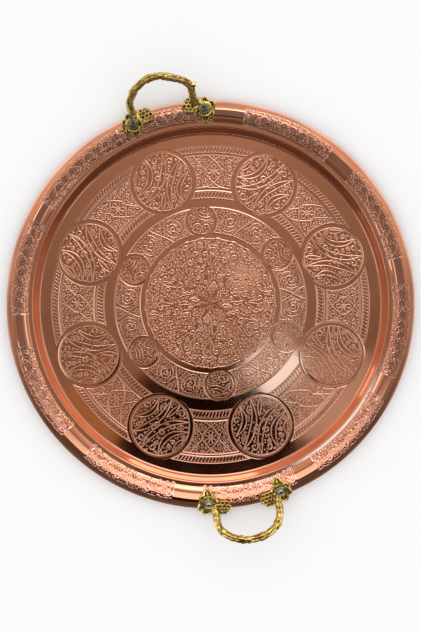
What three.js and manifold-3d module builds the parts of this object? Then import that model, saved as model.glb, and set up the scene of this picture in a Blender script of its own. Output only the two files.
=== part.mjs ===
// Round copper tray with a wired rim and two cast brass vine handles, riveted on.
// Millimetres, +Z up. The origin is on the tray's axis, in the plane that the tray stands on.
// The handles are named for the +Y side (north) and the -Y side (south), and their feet for the
// left and the right as seen from the middle of the tray.
import * as THREE from "three";
import { mergeVertices } from "three/addons/utils/BufferGeometryUtils.js";
import Module from "manifold-3d";

const wasm = await Module();
wasm.setup();

// Clearance between pieces that touch or pass through each other
const FIT_GAP = 0.3;

// Tray body: one copper sheet, with the sizes of its top face from the edge inwards
const RIM_DIAMETER = 500;
const SHEET_THICKNESS = 0.9;
const OUTER_SLOPE_WIDTH = 5.6;
const BEAD_WIDTH = 21.8;
const BEAD_RISE = 3.2;
const LEDGE_WIDTH = 6.1;
const LEDGE_RISE = 0.4;
const WALL_WIDTH = 5.2;
const DISH_DEPTH = 14.2;
const COVE_BEND_RADIUS = 3.6;
const SHOULDER_BEND_RADIUS = 1.6;
const ROLL_WRAP_DEGREES = 250;

// Wire in the rolled edge
const WIRE_DIAMETER = 2;

// Rivets, and the burrs (washers) that their tails are closed on under the rim
const SHANK_DIAMETER = 4.8;
const HEAD_DIAMETER = 9.2;
const HEAD_HEIGHT = 3.2;
const TAIL_DIAMETER = 7;
const TAIL_FACE_DIAMETER = 4.4;
const TAIL_HEIGHT = 1.6;
const BURR_DIAMETER = 8;
const BURR_THICKNESS = 1.2;
const RIVET_SPACING = 88;

// Feet of the handles, measured from the rivet
const FOOT_THICKNESS = 3.4;
const PAD_DIAMETER = 12.4;
const PAD_HEIGHT = 4.6;
const LEAF_LOBES = 5;
const LEAF_REACH = 13.2;
const LOBE_DIAMETER = 10.4;
const LOBE_SWELL = 2.2;
const BUNCH_INWARDS = 15.6;
const BUNCH_OUTWARDS = 7.6;
const BUNCH_DIAMETER = 18.6;
const GRAPE_DIAMETER = 6.2;
const GRAPE_SPACING = 5.2;
const GRAPE_ROWS = [3, 4, 3, 2];

// Bail of a handle: a twig with knots along it and a knuckle where it leaves each foot
const TWIG_DIAMETER = 8.8;
const KNOT_DIAMETER = 10.4;
const KNOT_PLACES = [0.02, 0.24, 0.41, 0.58, 0.76, 0.98];
const STUB_DIAMETER = 6.4;
const STUB_LENGTH = 9;
const STUB_PLACE = 0.78;

// The handles: where each stands on the rim, how far its rivets are set in from the outermost
// place that the rolled edge allows, and the middle line of its twig. The points of that line are
// [along the rim, outwards from the rivets' line, above the rim's crest].
const HANDLES = [
  {
    name: "north",
    degrees: 91.25,
    setIn: 4,
    hasStub: true,
    twig: [
      [-41.4, 9, -2],
      [-43.2, 25.5, 5],
      [-39.4, 32.5, 10],
      [-31.7, 40.6, 16.5],
      [-18.2, 46.8, 23],
      [-5.6, 47.6, 26.5],
      [7.2, 44.5, 27.5],
      [18.4, 39.9, 26],
      [28.2, 34.9, 22],
      [33.2, 27.8, 15],
      [34.1, 18.4, 6.5],
      [34.8, 8, -2],
    ],
  },
  {
    name: "south",
    degrees: 268.75,
    setIn: 0,
    hasStub: false,
    twig: [
      [-39.3, 9, -2],
      [-39.6, 21.3, 5],
      [-38.1, 29.5, 11],
      [-32.9, 37.9, 17.5],
      [-22.8, 44.6, 23],
      [-10.6, 47.9, 26.5],
      [4.7, 48, 27.5],
      [20.9, 43.6, 25],
      [31.9, 35.8, 19],
      [37.1, 27.6, 12],
      [37.5, 16.5, 4.5],
      [38.3, 8, -2],
    ],
  },
];

// Facets
const RIM_FACETS = 64;
const BEND_FACETS = 2;
const BEAD_FACETS = 6;
const ROLL_FACETS = 5;
const WIRE_FACETS = 6;
const RIVET_FACETS = 12;
const LOBE_FACETS = 8;
const GRAPE_FACETS = 6;
const TWIG_SIDES = 8;
const TWIG_STEPS = 28;

// Colours, as the finished metals look
const copper = new THREE.MeshStandardMaterial({ color: 0xb87352, roughness: 0.28, metalness: 1 });
const castBrass = new THREE.MeshStandardMaterial({ color: 0xb59a4c, roughness: 0.42, metalness: 1 });
const rivetSteel = new THREE.MeshStandardMaterial({ color: 0x9da3a8, roughness: 0.3, metalness: 1 });
const wireSteel = new THREE.MeshStandardMaterial({ color: 0x7d7f82, roughness: 0.5, metalness: 1 });

// Sizes that follow from the values above
const rimRadius = RIM_DIAMETER / 2;
const wireRadius = WIRE_DIAMETER / 2;
const rollRadius = wireRadius + FIT_GAP + SHEET_THICKNESS;
const beadOuter = rimRadius - OUTER_SLOPE_WIDTH;
const beadInner = beadOuter - BEAD_WIDTH;
const wallTop = beadInner - LEDGE_WIDTH;
const wallFoot = wallTop - WALL_WIDTH;
const ledgeHeight = SHEET_THICKNESS + DISH_DEPTH;
const beadFootHeight = ledgeHeight + LEDGE_RISE;
const shankRadius = SHANK_DIAMETER / 2;
const holeRadius = shankRadius + FIT_GAP;
const headRadius = HEAD_DIAMETER / 2;
const burrRadius = BURR_DIAMETER / 2;
const lobeRadius = LOBE_DIAMETER / 2;

// The bead is one arc: its radius, its centre and half its angle
const beadHalf = BEAD_WIDTH / 2;
const beadRadius = (beadHalf * beadHalf + BEAD_RISE * BEAD_RISE) / (2 * BEAD_RISE);
const beadAngle = Math.asin(beadHalf / beadRadius);
const beadCentre = { r: beadInner + beadHalf, z: beadFootHeight + BEAD_RISE - beadRadius };
const crestHeight = beadFootHeight + BEAD_RISE;

// The outer slope leaves the bead straight on and runs into the roll round the wire
const slopeSin = Math.sin(beadAngle);
const slopeCos = Math.cos(beadAngle);
const rollR = rimRadius - rollRadius;
const slopeLength = (rollR + rollRadius * slopeSin - beadOuter) / slopeCos;
const rollCentre = {
  r: rollR,
  z: beadFootHeight - slopeLength * slopeSin - rollRadius * slopeCos,
};

// Points of an arc about a centre, both ends included. Its angles count from straight up, outwards.
function arc(centre, radius, from, to, facets) {
  return Array.from({ length: facets + 1 }, (_, i) => {
    const angle = from + ((to - from) * i) / facets;
    return new THREE.Vector2(
      centre.r + radius * Math.sin(angle),
      centre.z + radius * Math.cos(angle),
    );
  });
}

// The corner at b, between a and c, rounded by a radius
function roundedCorner(a, b, c, radius) {
  const before = a.clone().sub(b).normalize();
  const after = c.clone().sub(b).normalize();
  const half = Math.acos(before.dot(after)) / 2;
  const start = b.clone().addScaledVector(before, radius / Math.tan(half));
  const middle = before.clone().add(after).normalize();
  const centre = b.clone().addScaledVector(middle, radius / Math.sin(half));
  const turn = (Math.PI - 2 * half) * Math.sign(after.cross(before));
  return Array.from({ length: BEND_FACETS + 1 }, (_, i) =>
    start.clone().rotateAround(centre, (turn * i) / BEND_FACETS),
  );
}

// A line of points moved sideways by a distance, to the right of its direction
function offsetLine(points, distance) {
  return points.map((p, i) => {
    const steps = [];
    if (i > 0) {
      steps.push(p.clone().sub(points[i - 1]));
    }
    if (i < points.length - 1) {
      steps.push(points[i + 1].clone().sub(p));
    }
    const rights = steps.map((s) => new THREE.Vector2(s.y, -s.x).normalize());
    const miter = rights[0].clone().add(rights[rights.length - 1]).normalize();
    return p.clone().addScaledVector(miter, distance / miter.dot(rights[0]));
  });
}

// The slope and the height of the rim's top face, which the feet and the rivets stand on
function rimAngleAt(r) {
  const sine = (r - beadCentre.r) / beadRadius;
  return Math.asin(Math.min(Math.max(sine, -slopeSin), slopeSin));
}

function rimHeightAt(r) {
  const angle = rimAngleAt(r);
  const arcR = beadCentre.r + beadRadius * Math.sin(angle);
  return beadCentre.z + beadRadius * Math.cos(angle) - (r - arcR) * Math.tan(angle);
}

// A geometry as a solid: only positions, shared corners merged, faces of no area left out
function toSolid(geometry) {
  const bare = geometry.clone();
  bare.deleteAttribute("normal");
  bare.deleteAttribute("uv");
  const merged = mergeVertices(bare, 1e-4);
  const corners = Array.from(merged.index.array);
  const kept = [];
  for (let i = 0; i < corners.length; i += 3) {
    const [a, b, c] = corners.slice(i, i + 3);
    if (a !== b && b !== c && c !== a) {
      kept.push(a, b, c);
    }
  }
  return new wasm.Manifold(
    new wasm.Mesh({
      numProp: 3,
      vertProperties: new Float32Array(merged.attributes.position.array),
      triVerts: new Uint32Array(kept),
    }),
  );
}

function toMesh(name, solid, material) {
  const { vertProperties, triVerts } = solid.getMesh();
  const geometry = new THREE.BufferGeometry();
  geometry.setAttribute("position", new THREE.BufferAttribute(vertProperties, 3));
  geometry.setIndex(new THREE.BufferAttribute(triVerts, 1));
  geometry.computeVertexNormals();
  const mesh = new THREE.Mesh(geometry, material);
  mesh.name = name;
  return mesh;
}

function joined(solids) {
  return solids.reduce((sum, solid) => sum.add(solid));
}

// A casting has no sealed pockets: what its shapes close in among them is metal
function filled(solid) {
  return joined(solid.decompose().filter((body) => body.volume() > 0));
}

// A profile of (radius, height) points turned about Z. It runs with the metal on its left.
function turned(profile, facets) {
  return new THREE.LatheGeometry(profile, facets).rotateX(Math.PI / 2);
}

// A round bar along Z between two heights
function bar(radius, low, high, facets) {
  return new THREE.CylinderGeometry(radius, radius, high - low, facets)
    .rotateX(Math.PI / 2)
    .translate(0, 0, (low + high) / 2);
}

function ball(radius, facets) {
  return new THREE.SphereGeometry(radius, facets, Math.ceil(facets / 2)).rotateX(Math.PI / 2);
}

// The top face of the sheet, from the axis out over the dish, the bead and round the roll
const floorCentre = new THREE.Vector2(0, SHEET_THICKNESS);
const wallFootCorner = new THREE.Vector2(wallFoot, SHEET_THICKNESS);
const wallTopCorner = new THREE.Vector2(wallTop, ledgeHeight);
const beadArc = arc(beadCentre, beadRadius, -beadAngle, beadAngle, BEAD_FACETS);
const rollEnd = beadAngle + THREE.MathUtils.degToRad(ROLL_WRAP_DEGREES);
const overEdge = arc(rollCentre, rollRadius, beadAngle, Math.PI / 2, BEND_FACETS);
const underEdge = arc(rollCentre, rollRadius, Math.PI / 2, rollEnd, ROLL_FACETS);
const topFace = [
  floorCentre,
  ...roundedCorner(floorCentre, wallFootCorner, wallTopCorner, COVE_BEND_RADIUS),
  ...roundedCorner(wallFootCorner, wallTopCorner, beadArc[0], SHOULDER_BEND_RADIUS + SHEET_THICKNESS),
  ...beadArc,
  ...overEdge,
  ...underEdge.slice(1),
];

// All that lies under the rim's top face and edge, with the fit gap over them
function rimClearance() {
  const raised = offsetLine([...beadArc, ...overEdge], -FIT_GAP);
  const innerFoot = new THREE.Vector2(raised[0].x, 0);
  const outerFoot = new THREE.Vector2(raised[raised.length - 1].x, 0);
  return toSolid(turned([innerFoot, outerFoot, ...raised.reverse(), innerFoot], RIM_FACETS));
}

// The sheet of the bead and the outer slope, with the fit gap on both its sides
function sheetClearance() {
  const sheetLine = [...beadArc, overEdge[0]];
  const under = offsetLine(sheetLine, SHEET_THICKNESS + FIT_GAP);
  const over = offsetLine(sheetLine, -FIT_GAP).reverse();
  return toSolid(turned([...under, ...over, under[0]], RIM_FACETS));
}

// A shell over the rim between two heights above its top face, which runs on past its edge
function rimShell(low, high) {
  const end = rimRadius + LEAF_REACH;
  const lineAt = (lift) => {
    const line = arc(beadCentre, beadRadius + lift, -beadAngle, beadAngle, BEAD_FACETS);
    const last = line[line.length - 1];
    const drop = ((end - last.x) * slopeSin) / slopeCos;
    return [...line, new THREE.Vector2(end, last.y - drop)];
  };
  const lower = lineAt(low);
  return toSolid(turned([...lower, ...lineAt(high).reverse(), lower[0]], RIM_FACETS));
}

// Tray body, with a hole for each rivet
function trayBody(rivetPlaces) {
  const underFace = offsetLine(topFace, SHEET_THICKNESS);
  const sheet = toSolid(turned([...underFace, ...topFace.reverse()], RIM_FACETS));
  const hole = bar(holeRadius, burrFoot, headSeat, RIVET_FACETS);
  return rivetPlaces.reduce(
    (solid, place) => solid.subtract(toSolid(hole.clone().applyMatrix4(place))),
    sheet,
  );
}

function edgeWire() {
  return turned(arc(rollCentre, wireRadius, 0, -2 * Math.PI, WIRE_FACETS), RIM_FACETS);
}

// Heights along a rivet from the rim's top face: under its head, and over its tail
const headSeat = PAD_HEIGHT + FIT_GAP;
const burrTop = -SHEET_THICKNESS - FIT_GAP;
const burrFoot = burrTop - BURR_THICKNESS;
const tailSeat = burrFoot - FIT_GAP;

// Where a rivet stands, for a handle on the +Y side: square to the rim at a side's foot
function rivetPlace(handle, side) {
  const outermost = rollR - rollRadius - FIT_GAP - burrRadius;
  const radius = outermost - handle.setIn;
  const x = (side * RIVET_SPACING) / 2;
  const y = Math.sqrt(radius * radius - x * x);
  return new THREE.Matrix4()
    .makeTranslation(x, y, rimHeightAt(radius))
    .multiply(new THREE.Matrix4().makeRotationZ(Math.atan2(y, x)))
    .multiply(new THREE.Matrix4().makeRotationY(rimAngleAt(radius)));
}

// Rivet along Z: a domed head, the shank, and the tail closed on the burr
function rivet() {
  const crownRadius = (headRadius * headRadius + HEAD_HEIGHT * HEAD_HEIGHT) / (2 * HEAD_HEIGHT);
  const crownCentre = { r: 0, z: headSeat + HEAD_HEIGHT - crownRadius };
  const crownAngle = Math.acos((headSeat - crownCentre.z) / crownRadius);
  const profile = [
    [0, tailSeat - TAIL_HEIGHT],
    [TAIL_FACE_DIAMETER / 2, tailSeat - TAIL_HEIGHT],
    [TAIL_DIAMETER / 2, tailSeat - TAIL_HEIGHT / 2],
    [TAIL_DIAMETER / 2, tailSeat],
    [shankRadius, tailSeat],
    [shankRadius, headSeat],
  ].map(([r, z]) => new THREE.Vector2(r, z));
  profile.push(...arc(crownCentre, crownRadius, crownAngle, 0, BEND_FACETS + 1));
  return turned(profile, RIVET_FACETS);
}

// Burr: hammered up against the sheet, so that its upper face takes the sheet's curve
function burr(place, sheet) {
  const disc = bar(burrRadius, burrFoot, -SHEET_THICKNESS / 2, RIVET_FACETS);
  const hole = bar(holeRadius, burrFoot - BURR_THICKNESS, 0, RIVET_FACETS);
  return toSolid(disc.applyMatrix4(place))
    .subtract(toSolid(hole.applyMatrix4(place)))
    .subtract(sheet);
}

// Foot of a handle: a lobed vine leaf round the rivet's pad, and a bunch of grapes beside it
function footSolids(place, side, shell) {
  const centre = new THREE.Vector3().setFromMatrixPosition(place);
  const outwards = new THREE.Vector3(centre.x, centre.y, 0).normalize();
  const inwards = new THREE.Vector3(-side * outwards.y, side * outwards.x, 0);
  // A place on the foot's top face, by its distances from the rivet
  const onFoot = (along, out) => {
    const p = centre.clone().addScaledVector(inwards, along).addScaledVector(outwards, out);
    return p.setZ(rimHeightAt(Math.hypot(p.x, p.y)) + FIT_GAP + FOOT_THICKNESS);
  };
  const lobeOut = LEAF_REACH - lobeRadius;
  const lobes = Array.from({ length: LEAF_LOBES }, (_, i) => {
    const angle = (2 * Math.PI * i) / LEAF_LOBES;
    return onFoot(lobeOut * Math.sin(angle), lobeOut * Math.cos(angle));
  });
  const column = (radius, p) =>
    toSolid(bar(radius, 0, 2 * crestHeight, LOBE_FACETS).translate(p.x, p.y, 0));
  const outline = joined([
    column(LEAF_REACH - lobeRadius / 2, centre),
    ...lobes.map((p) => column(lobeRadius, p)),
    column(BUNCH_DIAMETER / 2, onFoot(BUNCH_INWARDS, BUNCH_OUTWARDS)),
  ]);
  const swells = lobes.map((p) => {
    const dome = ball(lobeRadius, LOBE_FACETS).scale(1, 1, LOBE_SWELL / lobeRadius);
    return toSolid(dome.translate(p.x, p.y, p.z));
  });
  const rowStep = (GRAPE_SPACING * Math.sqrt(3)) / 2;
  const grapes = GRAPE_ROWS.flatMap((count, row) =>
    Array.from({ length: count }, (_, i) => {
      const along = BUNCH_INWARDS + (i - (count - 1) / 2) * GRAPE_SPACING;
      const out = BUNCH_OUTWARDS + ((GRAPE_ROWS.length - 1) / 2 - row) * rowStep;
      const p = onFoot(along, out);
      return toSolid(ball(GRAPE_DIAMETER / 2, GRAPE_FACETS).translate(p.x, p.y, p.z));
    }),
  );
  const pad = toSolid(bar(PAD_DIAMETER / 2, 0, PAD_HEIGHT, RIVET_FACETS).applyMatrix4(place));
  return [shell.intersect(outline), pad, ...swells, ...grapes];
}

// Bail of a handle: the twig swept along its middle line, its knots and a cut side shoot
function bailSolids(handle, rivetY) {
  const line = new THREE.CatmullRomCurve3(
    handle.twig.map(([x, out, up]) => new THREE.Vector3(x, rivetY + out, crestHeight + up)),
  );
  const section = new THREE.Shape(
    Array.from({ length: TWIG_SIDES }, (_, i) =>
      new THREE.Vector2(TWIG_DIAMETER / 2, 0).rotateAround(
        new THREE.Vector2(),
        (2 * Math.PI * i) / TWIG_SIDES,
      ),
    ),
  );
  const twig = new THREE.ExtrudeGeometry(section, {
    steps: TWIG_STEPS,
    bevelEnabled: false,
    extrudePath: line,
  });
  const knots = KNOT_PLACES.map((share) => {
    const p = line.getPointAt(share);
    return toSolid(ball(KNOT_DIAMETER / 2, LOBE_FACETS).translate(p.x, p.y, p.z));
  });
  const solids = [toSolid(twig), ...knots];
  if (handle.hasStub) {
    const root = line.getPointAt(STUB_PLACE);
    const ahead = line.getTangentAt(STUB_PLACE);
    const lean = new THREE.Vector3(ahead.x - ahead.y, ahead.y + ahead.x, 0).normalize();
    const turn = new THREE.Quaternion().setFromUnitVectors(new THREE.Vector3(0, 0, 1), lean);
    const stub = bar(STUB_DIAMETER / 2, 0, STUB_LENGTH, LOBE_FACETS).applyQuaternion(turn);
    solids.push(toSolid(stub.translate(root.x, root.y, root.z)));
  }
  return solids;
}

// A whole handle: its feet and its bail, cut to the rim, with holes and seats for the rivets
function handleSolid(handle, places, shell, clearance) {
  const feet = [...footSolids(places.left, -1, shell), ...footSolids(places.right, 1, shell)];
  const rivetY = new THREE.Vector3().setFromMatrixPosition(places.left).y;
  const casting = joined([...feet, ...bailSolids(handle, rivetY)]).subtract(clearance);
  const headRoom = bar(headRadius + FIT_GAP, PAD_HEIGHT, PAD_HEIGHT + KNOT_DIAMETER, RIVET_FACETS);
  const hole = bar(holeRadius, -PAD_HEIGHT, 2 * PAD_HEIGHT, RIVET_FACETS);
  const finished = Object.values(places).reduce(
    (solid, place) =>
      solid
        .subtract(toSolid(headRoom.clone().applyMatrix4(place)))
        .subtract(toSolid(hole.clone().applyMatrix4(place))),
    casting,
  );
  return filled(finished);
}

// The whole tray
const tray = new THREE.Group();
const footShell = rimShell(FIT_GAP, FIT_GAP + FOOT_THICKNESS);
const underHandles = rimClearance();
const sheet = sheetClearance();
const rivetPlaces = [];

for (const handle of HANDLES) {
  const stand = new THREE.Group();
  stand.rotation.z = THREE.MathUtils.degToRad(handle.degrees - 90);
  stand.updateMatrix();
  const places = { left: rivetPlace(handle, -1), right: rivetPlace(handle, 1) };
  const casting = handleSolid(handle, places, footShell, underHandles);
  stand.add(toMesh(`handle_${handle.name}`, casting, castBrass));
  for (const [side, place] of Object.entries(places)) {
    const rivetMesh = new THREE.Mesh(rivet(), rivetSteel);
    rivetMesh.name = `rivet_${handle.name}_${side}`;
    rivetMesh.applyMatrix4(place);
    stand.add(rivetMesh);
    stand.add(toMesh(`burr_${handle.name}_${side}`, burr(place, sheet), rivetSteel));
    rivetPlaces.push(stand.matrix.clone().multiply(place));
  }
  tray.add(stand);
}
const wire = new THREE.Mesh(edgeWire(), wireSteel);
wire.name = "edge_wire";
tray.add(toMesh("tray_body", trayBody(rivetPlaces), copper), wire);

export default tray;
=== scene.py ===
"""Round copper tray with a chased floor and rim, and two cast brass twig handles riveted on.

Lengths are millimetres while a shape is worked out, and metres once they are in a mesh. The origin is
on the tray's axis, in the plane that it stands on, with +Z up and the handles on the +Y and -Y sides.
"""
import logging
import math
from collections.abc import Callable
from dataclasses import dataclass, field
from enum import Enum

import bpy
import numpy as np
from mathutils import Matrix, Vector, noise


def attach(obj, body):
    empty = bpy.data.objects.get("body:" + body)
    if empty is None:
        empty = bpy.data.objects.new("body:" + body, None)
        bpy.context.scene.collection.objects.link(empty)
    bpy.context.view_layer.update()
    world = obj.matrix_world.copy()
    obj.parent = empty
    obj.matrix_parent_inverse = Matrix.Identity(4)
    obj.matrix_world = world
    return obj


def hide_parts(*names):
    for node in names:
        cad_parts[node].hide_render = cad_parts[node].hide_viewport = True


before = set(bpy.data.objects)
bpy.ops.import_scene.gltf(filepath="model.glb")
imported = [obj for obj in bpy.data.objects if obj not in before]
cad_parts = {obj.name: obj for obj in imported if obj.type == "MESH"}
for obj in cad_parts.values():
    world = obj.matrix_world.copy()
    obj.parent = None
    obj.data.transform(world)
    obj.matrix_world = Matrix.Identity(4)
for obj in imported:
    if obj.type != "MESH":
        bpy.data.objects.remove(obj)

Array = np.ndarray
Material = bpy.types.Material
Piece = bpy.types.Object
Socket = bpy.types.NodeSocket
Tree = bpy.types.NodeTree

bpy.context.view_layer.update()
LOG = logging.getLogger("tray")
MM = 0.001
BODY = "root"
TURN = 2 * math.pi
# How far the tray is turned on its table as the camera sees it, in degrees
VIEW_TURN = -11.25


class Slot(Enum):
    """The material slots of the record."""

    COPPER = "copper_sheet"
    BRASS = "cast_brass"
    RIVET = "rivet_metal"
    WIRE = "edge_wire"


# Mesh work


def activate(piece: Piece) -> None:
    """Selects one object alone, in object mode.

    Args:
        piece: the object.
    """
    bpy.ops.object.select_all(action="DESELECT")
    piece.select_set(True)
    bpy.context.view_layer.objects.active = piece


def vectors_of(piece: Piece, key: str) -> Array:
    """Returns the place ("co") or the normal ("normal") of each vertex, one row each.

    Args:
        piece: the piece.
        key: which of the two.

    Returns:
        The rows, in the mesh's own metres.
    """
    flat = np.empty(len(piece.data.vertices) * 3, np.float32)
    piece.data.vertices.foreach_get(key, flat)
    return flat.reshape(-1, 3)


def points_of(piece: Piece) -> Array:
    """Returns a piece's vertices in millimetres, one row each."""
    return vectors_of(piece, "co").astype(float) / MM


def place_points(piece: Piece, points: Array) -> None:
    """Puts a piece's vertices at places given in millimetres."""
    piece.data.vertices.foreach_set("co", (points * MM).astype(np.float32).ravel())
    piece.data.update()


def store(piece: Piece, name: str, values: Array) -> None:
    """Keeps one number for each vertex, for the finish to read."""
    layer = piece.data.attributes.get(name) or piece.data.attributes.new(name, "FLOAT", "POINT")
    layer.data.foreach_set("value", np.asarray(values, np.float32))


def add_primitive(add: Callable[..., object], name: str, **settings: object) -> Piece:
    """Adds a primitive, a start to be shaped, with nothing else selected.

    Args:
        add: the operator that adds it.
        name: its name.
        settings: the operator's settings.

    Returns:
        The new object.
    """
    bpy.ops.object.select_all(action="DESELECT")
    add(**settings)
    piece = bpy.context.object
    piece.name = piece.data.name = name
    return piece


def add_sheet(name: str, columns: int, rows: int) -> tuple[Piece, Array, Array]:
    """Adds a flat sheet of faces to be shaped.

    Args:
        name: the piece's name.
        columns: faces along the first direction.
        rows: faces along the second direction.

    Returns:
        The piece, and each vertex's place along both directions, from -1 to 1.
    """
    piece = add_primitive(
        bpy.ops.mesh.primitive_grid_add, name, x_subdivisions=columns, y_subdivisions=rows, size=2
    )
    flat = points_of(piece) * MM
    return piece, flat[:, 0], flat[:, 1]


def edit(piece: Piece, *steps: Callable[[], object]) -> None:
    """Runs modelling steps on a piece in edit mode, with nothing selected at the start.

    Args:
        piece: the piece.
        steps: the operators, or functions that call them, in order.
    """
    activate(piece)
    bpy.ops.object.mode_set(mode="EDIT")
    bpy.ops.mesh.select_mode(type="EDGE")
    bpy.ops.mesh.select_all(action="DESELECT")
    for step in steps:
        step()
    bpy.ops.object.mode_set(mode="OBJECT")


def select_open_edges() -> None:
    """Selects the edges that have a face on one side only."""
    bpy.ops.mesh.select_non_manifold(
        extend=False, use_wire=False, use_multi_face=False, use_non_contiguous=False, use_verts=False
    )


def face_outwards() -> None:
    """Turns all faces of a closed shell outwards."""
    bpy.ops.mesh.select_all(action="SELECT")
    bpy.ops.mesh.normals_make_consistent(inside=False)


def merge_seams() -> None:
    """Joins vertices that lie on each other."""
    bpy.ops.mesh.select_all(action="SELECT")
    bpy.ops.mesh.remove_doubles(threshold=1e-6)


def close_ends(piece: Piece) -> None:
    """Merges the seam of a tube, closes its two ends and turns its faces outwards.

    Args:
        piece: the tube.
    """
    edit(
        piece,
        merge_seams,
        lambda: bpy.ops.mesh.select_all(action="DESELECT"),
        select_open_edges,
        lambda: bpy.ops.mesh.fill_holes(sides=0),
        face_outwards,
    )


def thicken(piece: Piece, bottom: float, is_ring: bool = False) -> None:
    """Closes a sheet into a slab with a flat bottom.

    Args:
        piece: the sheet, whose open edge is level.
        bottom: the height of the bottom.
        is_ring: whether the sheet has an inner edge too.
    """
    top_count = len(piece.data.vertices)
    drop = {"value": (0, 0, -MM)}
    close = bpy.ops.mesh.bridge_edge_loops if is_ring else lambda: bpy.ops.mesh.fill_holes(sides=0)
    edit(
        piece,
        select_open_edges,
        lambda: bpy.ops.mesh.extrude_edges_move(TRANSFORM_OT_translate=drop),
        close,
        face_outwards,
    )
    points = points_of(piece)
    points[top_count:, 2] = bottom
    place_points(piece, points)


def spin_profile(name: str, profile: list[tuple[float, float]], steps: int) -> Piece:
    """Turns a closed profile about the Z axis.

    Args:
        name: the piece's name.
        profile: points as (radius, height), in order round the profile.
        steps: how many steps the full turn has.

    Returns:
        The turned piece.
    """
    piece = add_primitive(
        bpy.ops.mesh.primitive_circle_add, name, vertices=len(profile), fill_type="NOTHING"
    )
    place_points(piece, np.array([(r, 0, z) for r, z in profile]))
    edit(
        piece,
        lambda: bpy.ops.mesh.select_all(action="SELECT"),
        lambda: bpy.ops.mesh.spin(steps=steps, angle=TURN, center=(0, 0, 0), axis=(0, 0, 1)),
        merge_seams,
        bpy.ops.mesh.delete_loose,
        face_outwards,
    )
    return piece


def join(name: str, pieces: list[Piece]) -> Piece:
    """Joins pieces into one object with a new name.

    Args:
        name: the new name.
        pieces: the pieces; the first one takes the others in.

    Returns:
        The joined object.
    """
    activate(pieces[0])
    for piece in pieces:
        piece.select_set(True)
    bpy.ops.object.join()
    pieces[0].name = pieces[0].data.name = name
    return pieces[0]


def apply_modifier(piece: Piece, kind: str, **settings: object) -> None:
    """Adds a modifier with its settings and applies it.

    Args:
        piece: the piece.
        kind: the modifier's type.
        settings: its settings.
    """
    activate(piece)
    modifier = piece.modifiers.new(kind.lower(), kind)
    for key, value in settings.items():
        setattr(modifier, key, value)
    bpy.ops.object.modifier_apply(modifier=modifier.name)


def flatten_ground(piece: Piece, tilt: Callable[[Array], Array]) -> None:
    """Gives the polished ground between the chased lines the even normals of the face that it lies in.

    Args:
        piece: a chased piece, finished and with its chasing attribute.
        tilt: gives how far the plain face leans outwards, by radius.
    """
    chasing = np.empty(len(piece.data.vertices), np.float32)
    piece.data.attributes["chasing"].data.foreach_get("value", chasing)
    points = points_of(piece)
    r = np.maximum(np.hypot(points[:, 0], points[:, 1]), 1e-6)
    lean = tilt(r)
    flat = np.column_stack([points[:, 0] / r * np.sin(lean), points[:, 1] / r * np.sin(lean), np.cos(lean)])
    corners = np.empty(len(piece.data.loops), np.int32)
    piece.data.loops.foreach_get("vertex_index", corners)
    # A zero vector leaves a face's corner the normal that it has
    even = np.where(chasing[corners, None] < -0.75, flat[corners], 0)
    piece.data.normals_split_custom_set(even.tolist())


def finish_piece(piece: Piece, slot: Slot, material: Material, *nodes: str, sharp: float = 60) -> None:
    """Smooths and dresses a piece and lets it stand for its CAD nodes.

    Args:
        piece: the finished shape.
        slot: the record's material slot; not used.
        material: its finish.
        nodes: the CAD nodes that it stands for.
        sharp: the angle in degrees from which an edge stays sharp.
    """
    activate(piece)
    bpy.ops.object.shade_smooth_by_angle(angle=math.radians(sharp))
    piece.data.materials.clear()
    piece.data.materials.append(material)
    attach(piece, BODY)
    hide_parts(*nodes)
    LOG.info("%s has %d faces", piece.name, len(piece.data.polygons))


# Lines


def run_along(line: Array) -> Array:
    """Returns how far along a line each of its points is."""
    return np.concatenate([[0], np.cumsum(np.linalg.norm(np.diff(line, axis=0), axis=1))])


def stand(points: Array, axis: Array, place: Array) -> Array:
    """Returns points turned from standing along Z to standing along an axis, and moved to a place."""
    turn = Vector((0, 0, 1)).rotation_difference(Vector(axis)).to_matrix()
    return points @ np.array(turn).T + place


def smooth_line(knots: list[tuple[float, ...]], per_span: int = 12) -> Array:
    """Returns points of a smooth line through some knots, in any number of dimensions.

    Args:
        knots: the points that the line runs through.
        per_span: how many points it has from each knot to the next.

    Returns:
        Its points.
    """
    p = np.array(knots, float)
    p = np.vstack([2 * p[0] - p[1], p, 2 * p[-1] - p[-2]])
    t = np.linspace(0, 1, per_span, endpoint=False)[:, None]
    spans = [
        0.5 * (2 * b + (c - a) * t + (2 * a - 5 * b + 4 * c - d) * t**2 + (3 * b - a - 3 * c + d) * t**3)
        for a, b, c, d in zip(p, p[1:], p[2:], p[3:])
    ]
    return np.vstack([*spans, p[-2:-1]])


def curl(x: float, y: float, radius: float, start: float, turns: float, end: float = 0.18) -> Array:
    """Returns a spiral that winds in to a share of its radius; negative turns wind clockwise.

    Args:
        x: its middle along X.
        y: its middle along Y.
        radius: the radius it starts at.
        start: the angle it starts at.
        turns: how many turns it makes.
        end: the radius it ends at, as a share of the first.

    Returns:
        Its points.
    """
    t = np.linspace(0, 1, max(10, int(abs(turns) * 26)))
    r = radius * (1 - (1 - end) * t)
    angle = start + turns * TURN * t
    return np.column_stack([x + r * np.cos(angle), y + r * np.sin(angle)])


def ring(x: float, y: float, radius: float) -> Array:
    """Returns a closed circle."""
    return curl(x, y, radius, 0, 1, end=1)


def turned(line: Array, angle: float) -> Array:
    """Returns a flat line turned about the origin."""
    c, s = math.cos(angle), math.sin(angle)
    return line @ np.array([[c, s], [-s, c]])


def taper(line: Array, width: float, power: float = 0.6) -> Array:
    """Returns the widths of a blade, which is widest in its middle and pointed at both ends."""
    return width * (0.12 + np.sin(np.linspace(0, math.pi, len(line))) ** power * 0.88)


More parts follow.
